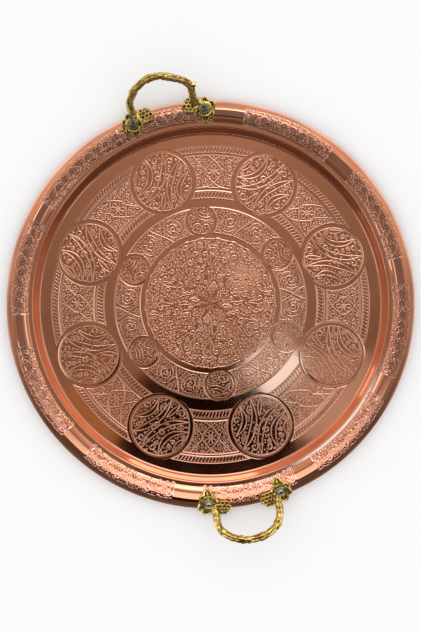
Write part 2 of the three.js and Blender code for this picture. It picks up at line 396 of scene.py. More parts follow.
class Relief:
    """Chased work as a height picture: 0 is the bare ground and 1 the top of a ridge."""

    def __init__(self, width: float, height: float, cell: float = 0.2) -> None:
        """Starts with bare ground over a rectangle about the origin.

        Args:
            width: its size along X.
            height: its size along Y.
            cell: the size of a cell.
        """
        self.width = width
        self.height = height
        self.cell = cell
        shape = (math.ceil(height / cell) + 1, math.ceil(width / cell) + 1)
        self.value = np.zeros(shape, np.float32)
        self.kept_bare: list[tuple[float, float, float]] = []

    def cells(self, x: Array, y: Array) -> tuple[Array, Array]:
        """Returns places as fractional rows and columns."""
        return (y + self.height / 2) / self.cell, (x + self.width / 2) / self.cell

    def raise_line(self, line: Array, widths: Array | float, level: float = 1) -> None:
        """Raises a ridge with a flat top along a line.

        Args:
            line: the points of the line.
            widths: one width, or a width for each point.
            level: the height of its top.
        """
        run = run_along(line)
        at = np.arange(0, run[-1] + self.cell, self.cell * 0.8)
        widths = np.broadcast_to(widths, len(line))
        x, y, w = (np.interp(at, run, v) for v in (line[:, 0], line[:, 1], widths))
        row, column = self.cells(x, y)
        half = np.maximum(w / 2 / self.cell, 1.0)[:, None, None]
        reach = int(half.max()) + 1
        span = np.arange(-reach, reach + 1)
        rows = np.rint(row).astype(int)[:, None, None] + span[None, :, None] + 0 * span[None, None, :]
        columns = np.rint(column).astype(int)[:, None, None] + span[None, None, :] + 0 * span[None, :, None]
        far = (rows - row[:, None, None]) ** 2 + (columns - column[:, None, None]) ** 2
        height = np.clip(1.4 * (1 - far / half**2), 0, level)
        inside = (rows >= 0) & (columns >= 0) & (height > 0)
        inside &= (rows < self.value.shape[0]) & (columns < self.value.shape[1])
        np.maximum.at(self.value, (rows[inside], columns[inside]), height[inside].astype(np.float32))

    def mirror_lines(self, line: Array, widths: Array | float) -> None:
        """Raises a ridge along a line and its three mirror images.

        Args:
            line: the points of the line.
            widths: one width, or a width for each point.
        """
        for sx in (1, -1):
            for sy in (1, -1):
                self.raise_line(line * (sx, sy), widths)

    def blade(self, line: Array, width: float, stroke: float) -> None:
        """Raises the outline of a long leaf, pointed at both ends, along a line.

        Args:
            line: the leaf's middle line.
            width: its greatest width.
            stroke: the width of the outline.
        """
        ahead = np.gradient(line, axis=0)
        side = np.column_stack([-ahead[:, 1], ahead[:, 0]]) / np.linalg.norm(ahead, axis=1)[:, None]
        bow = width / 2 * np.sin(np.linspace(0, math.pi, len(line)))[:, None] ** 0.8
        for hand in (1, -1):
            self.raise_line(line + hand * bow * side, stroke)

    def bead(self, x: float, y: float, radius: float) -> None:
        """Raises a bead with a dimple and keeps the ground round it bare."""
        self.raise_line(ring(x, y, radius * 0.62), radius * 0.75)
        self.kept_bare.append((x, y, radius * 2.2))

    def teardrop(self, x: float, y: float, length: float, angle: float, width: float) -> None:
        """Raises the outline of a drop that widens along an angle, with a seed in its round end.

        Args:
            x: its point along X.
            y: its point along Y.
            length: its length.
            angle: the angle that it widens along.
            width: the width of the outline.
        """
        t = np.linspace(-1, 1, 24)
        along = length * (1 - np.abs(t) ** 1.4)
        outline = np.column_stack([along, length * 0.36 * np.sin(math.pi * t)])
        self.raise_line(turned(outline, angle) + (x, y), width)
        seed = np.array([[length * 0.55, 0], [length * 0.68, 0]])
        self.raise_line(turned(seed, angle) + (x, y), width * 1.3)

    def pod(self, x: float, y: float, length: float, angle: float, width: float) -> None:
        """Raises the outline of a pod, pointed at both ends, with a dimpled bead in its bare middle.

        Args:
            x: its middle along X.
            y: its middle along Y.
            length: its length.
            angle: the angle that it lies along.
            width: the width of the outline.
        """
        t = np.linspace(0, math.pi, 20)
        side = np.column_stack([length * (0.5 - t / math.pi), length * 0.28 * np.sin(t)])
        for hand in (1, -1):
            self.raise_line(turned(side * (1, hand), angle) + (x, y), width)
        self.bead(x, y, length * 0.15)

    def crescent(self, x: float, y: float, radius: float, angle: float) -> None:
        """Raises two nested crescents that open along an angle, and keeps the ground inside them bare.

        Args:
            x: its middle along X.
            y: its middle along Y.
            radius: its radius.
            angle: the angle that it opens along.
        """
        for share, width in ((1, 0.36), (0.55, 0.3)):
            arc = turned(curl(0, 0, radius * share, 1.0, (TURN - 2.0) / TURN, 1), angle) + (x, y)
            self.raise_line(arc, taper(arc, radius * width))
        self.kept_bare.append((x, y, radius))

    def is_bare(self, value: Array, x: float, y: float, reach: float) -> bool:
        """Returns whether the ground of a height picture is free round a place.

        Args:
            value: the height picture.
            x: its place along X.
            y: its place along Y.
            reach: how far from it the ground has to be free.

        Returns:
            Whether the ground is free.
        """
        if any(math.hypot(x - kx, y - ky) < kr for kx, ky, kr in self.kept_bare):
            return False
        row, column = (int(v) for v in self.cells(x, y))
        n = max(int(reach / self.cell), 1)
        window = value[max(row - n, 0):row + n + 1, max(column - n, 0):column + n + 1]
        return bool(window.size) and float(window.max()) < 0.3

    def fill(
        self,
        inside: Callable[[float, float], bool],
        pitch: float,
        width: float,
        seed: int,
        clear: float = 0,
        fold: int = 1,
    ) -> None:
        """Fills the bare ground with small commas, and with dots where no comma fits.

        Args:
            inside: says for x and y whether a filler may stand there.
            pitch: the spacing of the commas.
            width: the width of their lines.
            seed: the seed of their turns.
            clear: the width of the ground that stays bare beside the lines drawn before.
            fold: how many times the filling repeats round the origin.
        """
        rng = np.random.default_rng(seed)
        drawn = self.value.copy()
        for step, reach in ((pitch * 0.5, pitch * 0.38), (pitch * 0.3, width * 0.8)):
            is_comma = reach > width
            for y in np.arange(-self.height / 2, self.height / 2, step):
                for x in np.arange(-self.width / 2, self.width / 2, step):
                    px, py = x + rng.uniform(-0.3, 0.3) * step, y + rng.uniform(-0.3, 0.3) * step
                    start, hand = rng.uniform(0, TURN), rng.choice([-1, 1])
                    if fold > 1 and not 0 <= math.atan2(py, px) < TURN / fold:
                        continue
                    if not inside(px, py) or not self.is_bare(self.value, px, py, reach):
                        continue
                    if clear and not self.is_bare(drawn, px, py, reach + clear):
                        continue
                    turns = hand * (0.62 if is_comma else 0.2)
                    radius = pitch * 0.42 if is_comma else width * 0.3
                    mark = curl(px, py, radius, start, turns, 0.35)
                    widths = width * np.linspace(0.55, 1.35, len(mark))
                    for i in range(fold):
                        self.raise_line(turned(mark, i * TURN / fold), widths)

    def at(self, x: Array, y: Array) -> Array:
        """Returns the height at places, read between the cells.

        Args:
            x: the places along X.
            y: the places along Y.

        Returns:
            The heights, 0 to 1.
        """
        row, column = self.cells(x, y)
        row = np.clip(row, 0, self.value.shape[0] - 1.001)
        column = np.clip(column, 0, self.value.shape[1] - 1.001)
        r, c = row.astype(int), column.astype(int)
        fr, fc = row - r, column - c
        v = self.value
        low = v[r, c] * (1 - fc) + v[r, c + 1] * fc
        high = v[r + 1, c] * (1 - fc) + v[r + 1, c + 1] * fc
        return low * (1 - fr) + high * fr


# Motifs

# How far the large medallion's motifs are turned from the way in which they are listed, in radians
LARGE_TURN = math.radians(-157.7)
# The blades of the large medallion: points along each, as shares of its radius, and its width in mm
LARGE_BLADES = (
    (((-0.96, -0.16), (-0.5, 0.0), (0.02, 0.34), (0.4, 0.9)), 6.4),
    (((-0.86, 0.34), (-0.5, 0.4), (-0.2, 0.6), (-0.06, 0.96)), 5.4),
    (((-0.66, -0.72), (-0.3, -0.28), (0.3, 0.08), (0.97, 0.12)), 6.4),
    (((-0.08, -0.96), (0.08, -0.56), (0.42, -0.28), (0.95, -0.22)), 5.8),
    (((0.22, 0.3), (0.46, 0.52), (0.66, 0.7)), 4.4),
    (((0.42, -0.86), (0.62, -0.6), (0.84, -0.48)), 4.2),
)
# Its curls: x, y as shares of the radius, size in mm, the angle at which it starts, and its turns
LARGE_CURLS = (
    (0.72, 0.42, 5.4, 3.4, -1.3),
    (-0.46, 0.72, 4.6, 5.4, 1.2),
    (0.06, -0.2, 4.4, 1.2, 1.2),
    (-0.66, -0.36, 4.8, 0.4, -1.2),
    (0.42, -0.02, 4.0, 2.2, 1.2),
    (-0.28, -0.7, 4.4, 2.8, 1.2),
)
# Its pods, crescents and drops: x, y as shares of the radius, size in mm and angle in radians
LARGE_PODS = ((-0.18, 0.02, 12, 0.7), (0.7, -0.06, 10, 0.1), (0.1, 0.66, 11, 1.1), (-0.72, 0.1, 9, 0.3))
LARGE_CRESCENTS = (
    (0.2, 0.02, 3.2, 3.9),
    (-0.7, 0.6, 3.0, 1.0),
    (0.52, 0.26, 3.0, 0.8),
    (-0.46, -0.5, 3.0, 4.2),
)
LARGE_DROPS = (
    (0.26, -0.62, 6.6, -1.3),
    (0.34, -0.5, 6.0, -0.5),
    (-0.1, -0.5, 5.8, -2.2),
    (0.7, -0.36, 6.0, -0.3),
)
# The curved leaves in an eighth of the centre: points along each in mm, with X outwards
CENTRE_LEAVES = (
    ((14, 5), (18.5, 8.2), (24, 9)),
    ((27, -7), (33, -4), (40, -6)),
    ((25, 3), (32, 6.5), (39, 5)),
    ((45, -5), (51, -10), (58, -11)),
    ((46, 8), (54, 9), (60, 14)),
    ((63, -3), (69, 1), (77, 0)),
    ((67, 10), (68, 17), (63, 24)),
)


def large_medallion_relief(radius: float) -> Relief:
    """Returns long blades that sweep across, with curls, beaded pods, crescents and drops among them.

    Args:
        radius: the radius of its border line.

    Returns:
        Its relief, with Y outwards.
    """
    relief = Relief(2 * radius + 4, 2 * radius + 4)
    for points, width in LARGE_BLADES:
        relief.blade(turned(smooth_line(points) * radius, LARGE_TURN), width, 1.5)
    for x, y, size, start, turns in LARGE_CURLS:
        scroll = turned(curl(x * radius, y * radius, size, start, turns, 0.25), LARGE_TURN)
        relief.raise_line(scroll, taper(scroll, 2.0, 0.5))
    for kind, marks in ((relief.pod, LARGE_PODS), (relief.teardrop, LARGE_DROPS)):
        for x, y, size, angle in marks:
            place = turned(np.array([[x, y]]) * radius, LARGE_TURN)[0]
            kind(*place, size, angle + LARGE_TURN, 1.3)
    for x, y, size, angle in LARGE_CRESCENTS:
        relief.crescent(*turned(np.array([[x, y]]) * radius, LARGE_TURN)[0], size, angle + LARGE_TURN)
    relief.fill(lambda x, y: math.hypot(x, y) < radius - 2.4, 4.5, 1.55, 3, clear=0.55)
    relief.raise_line(ring(0, 0, radius), 1.5)
    return relief


def small_medallion_relief(radius: float) -> Relief:
    """Returns a forked stem with a scroll on each branch over a bundle of slanting blades.

    Args:
        radius: the radius of its border line.

    Returns:
        Its relief, with Y outwards.
    """
    relief = Relief(2 * radius + 4, 2 * radius + 4)
    for points, width in (
        (((0.1, -0.9), (0.02, -0.5), (0.3, -0.3), (0.62, -0.44)), 1.9),
        (((0.02, -0.5), (-0.2, -0.2), (-0.56, -0.24), (-0.7, -0.5), (-0.5, -0.66)), 1.8),
        (((0.8, 0.0), (0.2, 0.04), (-0.4, 0.34)), 1.7),
        (((0.8, 0.24), (0.24, 0.26), (-0.3, 0.56)), 1.6),
        (((0.7, 0.48), (0.28, 0.5), (-0.1, 0.78)), 1.5),
    ):
        stem = smooth_line(points) * radius
        relief.raise_line(stem, taper(stem, width, 0.35))
    relief.pod(-0.58 * radius, 0.2 * radius, 8, 1.2, 1.2)
    relief.fill(lambda x, y: math.hypot(x, y) < radius - 1.7, 3.5, 1.2, 5, clear=0.4)
    relief.raise_line(ring(0, 0, radius), 1.3)
    return relief


def rosette_panel_relief(width: float, height: float) -> Relief:
    """Returns an eight-petalled rosette in a lozenge of crossed ribbons, with scrolls in the corners.

    Args:
        width: its size round the tray.
        height: its size outwards.

    Returns:
        Its relief, with Y outwards.
    """
    relief = Relief(width, height)
    relief.raise_line(ring(0, 0, 0.7), 2.0)
    t = np.linspace(0, TURN, 22)
    petal = np.column_stack([5.6 - 3.5 * np.cos(t), 1.65 * np.sin(t) * (1.15 - 0.35 * np.cos(t))])
    for i in range(8):
        relief.raise_line(turned(petal, i * TURN / 8), 1.0)
        relief.raise_line(turned(petal * 0.1 + (9.9, 0), (i + 0.5) * TURN / 8), 1.3)
    relief.kept_bare.append((0, 0, 8.6))
    top = height / 2
    ribbon = [(-13, top - 1), (-6.4, 18.2), (0, 13.8), (6.6, 7.6)]
    lozenge = smooth_line([*ribbon, (11, 0), *((x, -y) for x, y in ribbon[::-1])])
    bracket = smooth_line([(25, top - 2), (16.5, 9.5), (10.4, 0), (16.5, -9.5), (25, 2 - top)])
    for side in (1, -1):
        relief.raise_line(lozenge * (side, 1), 1.9)
        relief.raise_line(bracket * (side, 1), 1.5)
    for x, y, radius, start, turns in (
        (19.4, 4.6, 3.6, 3.3, -1.2),
        (18.8, 13.4, 3.9, 4.6, 1.2),
        (27.6, 16.6, 3.4, 3.3, -1.1),
    ):
        scroll = curl(x, y, radius, start, turns, 0.2)
        relief.mirror_lines(scroll, taper(scroll, 1.7, 0.3))
    relief.fill(lambda x, y: True, 3.7, 1.1, 7, clear=0.3)
    return relief


def scroll_panel_relief(width: float, height: float) -> Relief:
    """Returns two ovals, each with a coiled leaf in it, and crossed stems between them.

    Args:
        width: its size round the tray.
        height: its size outwards.

    Returns:
        Its relief, with Y outwards.
    """
    relief = Relief(width, height)
    for side in (1, -1):
        cross = smooth_line([(-8.4, 15.5), (-3.8, 6), (3.8, -6), (8.4, -15.5)])
        relief.raise_line(cross * (side, 1), 1.9)
        relief.raise_line((ring(0, 0, 10.8) * (0.98, 1.1) + (17.4, 0)) * (side, 1), 1.4)
        coil = curl(17.4, 0, 7.6, 2.2, 1.7, 0.12)
        relief.raise_line(coil * (side, side), taper(coil, 2.1, 0.3))
        for i in range(5):
            angle = 0.6 + i * 1.15
            spur = np.array([(5.4, 0), (8.6, 1.4)])
            relief.raise_line((turned(spur, angle) + (17.4, 0)) * (side, side), 1.2)
        relief.teardrop(side * 31, 0, 7, 0 if side > 0 else math.pi, 1.3)
    relief.fill(lambda x, y: True, 3.6, 1.1, 11)
    return relief


def centre_relief(radius: float) -> Relief:
    """Returns dense scrolls and leaves with faint strapwork among them, round a cross of bare petals.

    Args:
        radius: the radius of its border line.

    Returns:
        Its relief.
    """
    relief = Relief(2 * radius + 4, 2 * radius + 4)
    for i in range(8):
        reach = 23.0 if i % 2 == 0 else 11.5
        petal = turned(np.column_stack([np.linspace(0.5, reach, 30), np.zeros(30)]), i * TURN / 8)
        relief.raise_line(petal, taper(petal, 0.23 * reach, 0.9), 0.5)
    angle = np.linspace(0, TURN, 361)
    for phase in (0, math.pi):
        for middle, swing in ((53, 17), (26, 6.5)):
            r = middle + swing * np.cos(4 * angle + phase)
            relief.raise_line(np.column_stack([r * np.cos(angle), r * np.sin(angle)]), 1.2, 0.28)
    for i in range(8):
        turn = i * TURN / 8
        for points in CENTRE_LEAVES:
            leaf = smooth_line(points) * (1, 1 if i % 2 else -1)
            relief.blade(turned(leaf, turn), 3.6, 1.25)
        for x, y, size, start, turns in (
            (43.5, 2.0, 4.6, 0.3, 1.2),
            (62.5, 6.2, 3.9, 3.0, -1.2),
            (60.5, -4.9, 3.7, 3.3, 1.2),
            (71.5, 17.5, 4.1, 4.4, 1.2),
            (52.5, 15.5, 4.0, 1.4, -1.2),
            (33.0, 8.5, 3.4, 5.4, 1.2),
        ):
            scroll = curl(x, y, size, start, turns, 0.2)
            relief.raise_line(turned(scroll, turn), taper(scroll, 2.0, 0.3))
        for r, size, lean in ((50.5, 6.5, 0.5), (69.5, 6.5, -0.6), (23.0, 5.5, 0.3)):
            relief.teardrop(*turned(np.array([[r, 0]]), turn)[0], size, turn + lean, 1.3)
    relief.fill(lambda x, y: 4 < math.hypot(x, y) < radius - 1.8, 4.4, 1.2, 13, clear=0.4, fold=8)
    relief.raise_line(ring(0, 0, radius), 1.4)
    return relief


def meander_relief(height: float, period: float) -> Relief:
    """Returns one period of the hooked key border.

    Args:
        height: the border's size outwards.
        period: the spacing of its hooks.

    Returns:
        Its relief, with Y outwards.
    """
    relief = Relief(period, height)
    top = height / 2 - 1.75
    hook = np.array([(0.2, 0.9), (-1.6, 1.0), (1.6, -1.0), (-0.2, -0.9)])
    for shift in (-period, 0, period):
        relief.raise_line(hook * (1, top) + (shift, 0), 0.92)
    return relief


def cartouche_relief(length: float, height: float, seed: int) -> Relief:
    """Returns a waving vine with a scroll and two drop-shaped leaves in each of its bends.

    Args:
        length: its size round the rim.
        height: its size across the rim.
        seed: the seed of its filling.

    Returns:
        Its relief, with Y outwards.
    """
    relief = Relief(length, height)
    waves = 9
    x = np.linspace(-length / 2, length / 2, 400)
    vine = np.column_stack([x, height * 0.17 * np.sin(x / length * waves * math.pi)])
    relief.raise_line(vine, 1.7)
    for i in range(waves):
        middle = (i + 0.5 - waves / 2) * length / waves
        side = -math.copysign(1, math.sin(middle / length * waves * math.pi))
        scroll = curl(middle, side * height * 0.13, 5.3, -side * 2.2, side * 1.5, 0.12)
        relief.raise_line(scroll, taper(scroll, 2.1, 0.35))
        relief.teardrop(middle - 4.6, side * height * 0.3, 6.4, side * 0.5, 1.35)
        relief.teardrop(middle - 1.4, -side * height * 0.4, 5.2, side * 0.2, 1.3)
    relief.fill(lambda x, y: True, 3.5, 1.35, seed)
    return relief


# Finishes


def linear(colour: str) -> tuple[float, float, float, float]:
    """Turns an sRGB hex colour such as "#d08a62" to linear light."""
    parts = [int(colour[i:i + 2], 16) / 255 for i in (1, 3, 5)]
    return (*(p / 12.92 if p <= 0.04045 else ((p + 0.055) / 1.055) ** 2.4 for p in parts), 1.0)


def add_node(tree: Tree, kind: str, inputs: dict[str | int, object], **settings: object) -> bpy.types.Node:
    """Adds a shader node.

    Args:
        tree: the node tree that it goes into.
        kind: the node's type, without the prefix that all types have.
        inputs: by input name or number, the output that feeds it or its constant value.
        settings: the node's own settings, which are set first.

    Returns:
        The new node.
    """
    node = tree.nodes.new(f"ShaderNode{kind}")
    for key, value in settings.items():
        setattr(node, key, value)
    for key, value in inputs.items():
        if isinstance(value, Socket):
            tree.links.new(value, node.inputs[key])
        else:
            node.inputs[key].default_value = value
    return node


def new_tree(name: str) -> tuple[Material, Tree]:
    """Adds a material with no nodes.

    Args:
        name: its name.

    Returns:
        The material and its tree.
    """
    material = bpy.data.materials.new(name)
    material.use_nodes = True
    material.node_tree.nodes.clear()
    return material, material.node_tree


@dataclass(frozen=True)
class PolishedCopper:
    """Copper sheet, spun and polished; its chased lines are satin. The raised lines' paler, pinker colour is
    a painted highlight, the ground between them is a little darker as painted shade, and the steep wall's
    paler colour is a painted highlight.
    """

    name: str = "polished_copper"
    bright: str = "#dc9571"
    warm: str = "#d28a64"
    # The ground's colour, a little darker than the plain copper, is painted shade in the recesses between
    # the chased lines
    ground: str = "#cb8662"
    # The raised lines' paler, pinker colour is a painted highlight on the tops of the chased lines
    raised: str = "#e3ac95"
    # The wall's paler colour is a painted highlight, standing in for the bright reflection on the steep wall
    wall: str = "#fac8b4"
    roughness: float = 0.05
    ground_roughness: float = 0.08
    raised_roughness: float = 0.18
    # The satin of the chased lines, drawn coarser than real so that it shows
    grain_mm: float = 0.9
    grain_depth_mm: float = 0.02
    # The steep wall between these heights takes the paler wall colour: a painted highlight standing in for
    # the bright reflection that it shows
    wall_low_mm: float = 1.5
    wall_high_mm: float = 14.2
    # Size and depth of the waves that polishing leaves, and size of the faint tarnish clouds
    wave_mm: float = 26
    wave_depth_mm: float = 0.045
    cloud_mm: float = 60

    def material(self) -> Material:
        """Builds the material, which reads the chasing attribute: -1 ground, 0 plain and 1 raised.

        Returns:
            The material.
        """
        material, tree = new_tree(self.name)
        place = add_node(tree, "TexCoord", {}).outputs["Object"]
        height = add_node(tree, "SeparateXYZ", {"Vector": place}).outputs["Z"]
        chasing = add_node(tree, "Attribute", {}, attribute_name="chasing").outputs["Fac"]
        cloud, wave, grain = (
            add_node(
                tree, "TexNoise", {"Vector": place, "Scale": 1 / (size * MM), "Detail": detail}
            ).outputs[0]
            for size, detail in ((self.cloud_mm, 4.0), (self.wave_mm, 1.0), (self.grain_mm, 2.0))
        )
        foot, top = self.wall_low_mm * MM, self.wall_high_mm * MM
        is_bright, is_ground, is_raised, over_foot, under_top, rough = (
            add_node(
                tree, "MapRange", {"Value": value, "From Min": a, "From Max": b, "To Min": c, "To Max": d}
            ).outputs[0]
            for value, a, b, c, d in (
                (cloud, 0.3, 0.7, 0.0, 1.0),
                (chasing, -0.3, -1.0, 0.0, 1.0),
                (chasing, -0.1, 0.7, 0.0, 1.0),
                (height, foot, foot + 2 * MM, 0.0, 1.0),
                (height, top, top - 1 * MM, 0.0, 1.0),
                (cloud, 0.35, 0.75, self.roughness - 0.015, self.roughness + 0.02),
            )
        )
        # The share of the wall's painted highlight, between the wall's foot and its top
        wall_highlight_share = add_node(tree, "Math", {0: over_foot, 1: under_top}, operation="MULTIPLY").outputs[0]
        colour = linear(self.warm)
        # On the warm copper go the tarnish clouds, then the ground's painted shade, the raised lines'
        # painted highlight and the wall's painted highlight
        for share, above in (
            (is_bright, self.bright),
            (is_ground, self.ground),
            (is_raised, self.raised),
            (wall_highlight_share, self.wall),
        ):
            mix = add_node(tree, "Mix", {0: share, 6: colour, 7: linear(above)}, data_type="RGBA")
            colour = mix.outputs[2]
        for share, value in ((is_ground, self.ground_roughness), (is_raised, self.raised_roughness)):
            more = {0: share, 1: value - self.roughness, 2: rough}
            rough = add_node(tree, "Math", more, operation="MULTIPLY_ADD").outputs[0]
        waves = add_node(tree, "Bump", {"Height": wave, "Distance": self.wave_depth_mm * MM}).outputs[0]
        depth = self.grain_depth_mm * MM
        satin = {"Height": grain, "Strength": is_raised, "Distance": depth, "Normal": waves}
        normal = add_node(tree, "Bump", satin).outputs[0]
        surface = {"Base Color": colour, "Metallic": 1.0, "Roughness": rough, "Normal": normal}
        shader = add_node(tree, "BsdfPrincipled", surface)
        add_node(tree, "OutputMaterial", {"Surface": shader.outputs[0]})
        return material


@dataclass(frozen=True)
class CastMetal:
    """A cast or drawn metal: grainy skin, bright where it is handled, and dark in its hollows, where the
    hollow colour is painted shade, with patina too in the brass.
    """

    name: str
    bright: str
    dull: str
    hollow: str
    roughness: float
    grain_mm: float
    grain_depth_mm: float
    # Size of the blotches that handling leaves, and how much rougher the hollows are
    blotch_mm: float = 7
    hollow_roughness: float = 0.3

    def material(self) -> Material:
        """Builds the material, which reads the hollow attribute, 1 in the deepest hollows.

        Returns:
            The material.
        """
        material, tree = new_tree(self.name)
        place = add_node(tree, "TexCoord", {}).outputs["Object"]
        grain, blotch = (
            add_node(tree, "TexNoise", {"Vector": place, "Scale": 1 / (size * MM), "Detail": 3.0}).outputs[0]
            for size in (self.grain_mm, self.blotch_mm)
        )
        depth = add_node(tree, "Attribute", {}, attribute_name="hollow").outputs["Fac"]
        is_bright = add_node(tree, "MapRange", {"Value": blotch, "From Min": 0.35, "From Max": 0.62})
        colour = linear(self.dull)
        # The hollow colour goes on by the hollow attribute: painted shade in the hollows, with patina as
        # well in the brass
        for share, above in ((is_bright.outputs[0], self.bright), (depth, self.hollow)):
            mix = add_node(tree, "Mix", {0: share, 6: colour, 7: linear(above)}, data_type="RGBA")
            colour = mix.outputs[2]
        rougher = {0: depth, 1: self.hollow_roughness, 2: self.roughness}
        rough = add_node(tree, "Math", rougher, operation="MULTIPLY_ADD").outputs[0]
        skin = {"Height": grain, "Strength": 0.8, "Distance": self.grain_depth_mm * MM}
        normal = add_node(tree, "Bump", skin).outputs[0]
        surface = {"Base Color": colour, "Metallic": 1.0, "Roughness": rough, "Normal": normal}
        shader = add_node(tree, "BsdfPrincipled", surface)
        add_node(tree, "OutputMaterial", {"Surface": shader.outputs[0]})
        return material


# Cast brass, tumbled: yellow on its high spots, brown in its hollows, which is patina and painted shade
# together
CAST_BRASS = CastMetal("cast_brass", "#e8c878", "#aa9048", "#42300a", 0.17, 0.9, 0.14)
# Plain steel rivets, formed by a smooth snap; their near-black hollow colour is painted shade in the dimple
# of the head
RIVET_STEEL = CastMetal("rivet_steel", "#98988f", "#75756e", "#151513", 0.26, 0.5, 0.02)
# Drawn steel wire, dull
WIRE_STEEL = CastMetal("drawn_wire", "#8d8f92", "#77797c", "#4c4d50", 0.45, 0.4, 0.02)


# The sheet's section


@dataclass
class Section:
    """The section of the tray's sheet, from the edge inwards."""

    rim_radius: float = 250
    sheet: float = 0.9
    outer_slope: float = 5.6
    bead_width: float = 21.8
    bead_rise: float = 3.2
    ledge_width: float = 6.1
    ledge_rise: float = 0.4
    wall_width: float = 5.2
    dish_depth: float = 14.2
    cove_bend: float = 3.6
    shoulder_bend: float = 2.5
    roll_wrap: float = 250
    wire_radius: float = 1.0
    fit_gap: float = 0.3

    def __post_init__(self) -> None:
        """Works out the radii and heights that follow from the sizes."""
        self.bead_outer = self.rim_radius - self.outer_slope
        self.bead_inner = self.bead_outer - self.bead_width
        self.wall_top = self.bead_inner - self.ledge_width
        self.wall_foot = self.wall_top - self.wall_width
        self.ledge_height = self.sheet + self.dish_depth
        self.bead_foot = self.ledge_height + self.ledge_rise
        self.crest = self.bead_foot + self.bead_rise
        half = self.bead_width / 2
        self.bead_radius = (half**2 + self.bead_rise**2) / (2 * self.bead_rise)
        self.bead_angle = math.asin(half / self.bead_radius)
        self.bead_r = self.bead_inner + half
        self.bead_z = self.crest - self.bead_radius
        self.roll_radius = self.wire_radius + self.fit_gap + self.sheet
        self.roll_r = self.rim_radius - self.roll_radius
        slope = (self.roll_r + self.roll_radius * math.sin(self.bead_angle) - self.bead_outer) / math.cos(
            self.bead_angle
        )
        self.roll_z = (
            self.bead_foot - slope * math.sin(self.bead_angle) - self.roll_radius * math.cos(self.bead_angle)
        )

    def rim_angle(self, r: Array | float) -> Array:
        """Returns the slope of the rim's top face at a radius."""
        limit = math.sin(self.bead_angle)
        return np.arcsin(np.clip((np.asarray(r) - self.bead_r) / self.bead_radius, -limit, limit))

    def rim_height(self, r: Array | float) -> Array:
        """Returns the height of the rim's top face at a radius, which runs straight on past the bead.

        Args:
            r: the radius.

        Returns:
            The height.
        """
        angle = self.rim_angle(r)
        on_arc = self.bead_r + self.bead_radius * np.sin(angle)
        return self.bead_z + self.bead_radius * np.cos(angle) - (np.asarray(r) - on_arc) * np.tan(angle)

    def arc(self, r: float, z: float, radius: float, start: float, end: float, count: int) -> Array:
        """Returns points of an arc whose angles count from straight up, outwards."""
        angle = np.linspace(start, end, count)
        return np.column_stack([r + radius * np.sin(angle), z + radius * np.cos(angle)])

    def bend(self, a: tuple, b: tuple, c: tuple, radius: float, count: int) -> Array:
        """Returns the corner at b, between a and c, rounded by a radius.

        Args:
            a: the point before the corner.
            b: the corner.
            c: the point after it.
            radius: the radius of the bend.
            count: how many points the bend has.

        Returns:
            Its points.
        """
        a, b, c = (np.array(p, float) for p in (a, b, c))
        before, after = (a - b) / np.linalg.norm(a - b), (c - b) / np.linalg.norm(c - b)
        half = math.acos(before @ after) / 2
        middle = (before + after) / np.linalg.norm(before + after)
        centre = b + middle * radius / math.sin(half)
        start, end = b + before * radius / math.tan(half), b + after * radius / math.tan(half)
        share = np.linspace(0, 1, count)[:, None]
        way = (start - centre) * (1 - share) + (end - centre) * share
        return centre + way / np.linalg.norm(way, axis=1)[:, None] * radius

    def top_face(self, start: float, step: float) -> Array:
        """Returns the top face from a radius on the floor out and round the roll.

        Args:
            start: the radius at which the line starts.
            step: the spacing of the points on the ledge and the bead.

        Returns:
            Points as (radius, height).
        """
        floor, foot = (start, self.sheet), (self.wall_foot, self.sheet)
        top, bead = (self.wall_top, self.ledge_height), (self.bead_inner, self.bead_foot)
        cove = self.bend(floor, foot, top, self.cove_bend, 10)
        shoulder = self.bend(foot, top, bead, self.shoulder_bend, 9)
        flat = np.linspace(floor, cove[0], 6)[:-1]
        wall = np.linspace(cove[-1], shoulder[0], 8)[1:-1]
        ledge_steps = math.ceil((bead[0] - shoulder[-1][0]) / step)
        ledge = np.linspace(shoulder[-1], bead, ledge_steps + 1)[1:-1]
        bead_steps = math.ceil(2 * self.bead_angle * self.bead_radius / step)
        arc = self.arc(
            self.bead_r, self.bead_z, self.bead_radius, -self.bead_angle, self.bead_angle, bead_steps + 1
        )
        end = self.bead_angle + math.radians(self.roll_wrap)
        roll = self.arc(self.roll_r, self.roll_z, self.roll_radius, self.bead_angle, end, 30)
        slope = np.linspace(arc[-1], roll[0], 5)[1:-1]
        return np.vstack([flat, cove, wall, shoulder, ledge, arc, slope, roll])

    def normals(self, line: Array) -> Array:
        """Returns the directions away from the metal along a top face line.

        Args:
            line: the line, as top_face gives it.

        Returns:
            A unit vector for each of its points.
        """
        ahead = np.gradient(line, axis=0)
        side = np.column_stack([-ahead[:, 1], ahead[:, 0]])
        return side / np.linalg.norm(side, axis=1)[:, None]


@dataclass
class Medallions:
    """A ring of round medallions.

    Each has a chased disc, a plain moat round it and, in the moat, the seam to the next pieces.
    """

    angles: tuple[float, ...]
    ring_radius: float
    radius: float
    moat: float
    seam: float

    def gap_angle(self, r: Array) -> Array:
        """Returns half the angle that a medallion's seam covers at a radius."""
        cosine = (r**2 + self.ring_radius**2 - self.seam**2) / (2 * r * self.ring_radius)
        return np.arccos(np.clip(cosine, -1, 1))

    def pairs(self) -> list[tuple[float, float]]:
        """Returns the angles of each medallion and the next one round."""
        angles = [math.radians(a) for a in self.angles]
        return list(zip(angles, [*angles[1:], angles[0] + TURN]))

    def distance(self, x: Array, y: Array, angle: float) -> Array:
        """Returns how far places are from the centre of the medallion at an angle."""
        return np.hypot(x - self.ring_radius * math.cos(angle), y - self.ring_radius * math.sin(angle))

    def dish(self, reach: Array) -> Array:
        """Returns how deep in the moat places are, by their distance from a medallion's centre."""
        return hollow(reach, self.radius, self.moat)


def hollow(value: Array, low: float, high: float) -> Array:
    """Returns 1 in the middle of a range, and 0 at its ends and outside it."""
    return np.clip(1 - ((2 * value - low - high) / (high - low)) ** 2, 0, 1)


# The chased floor


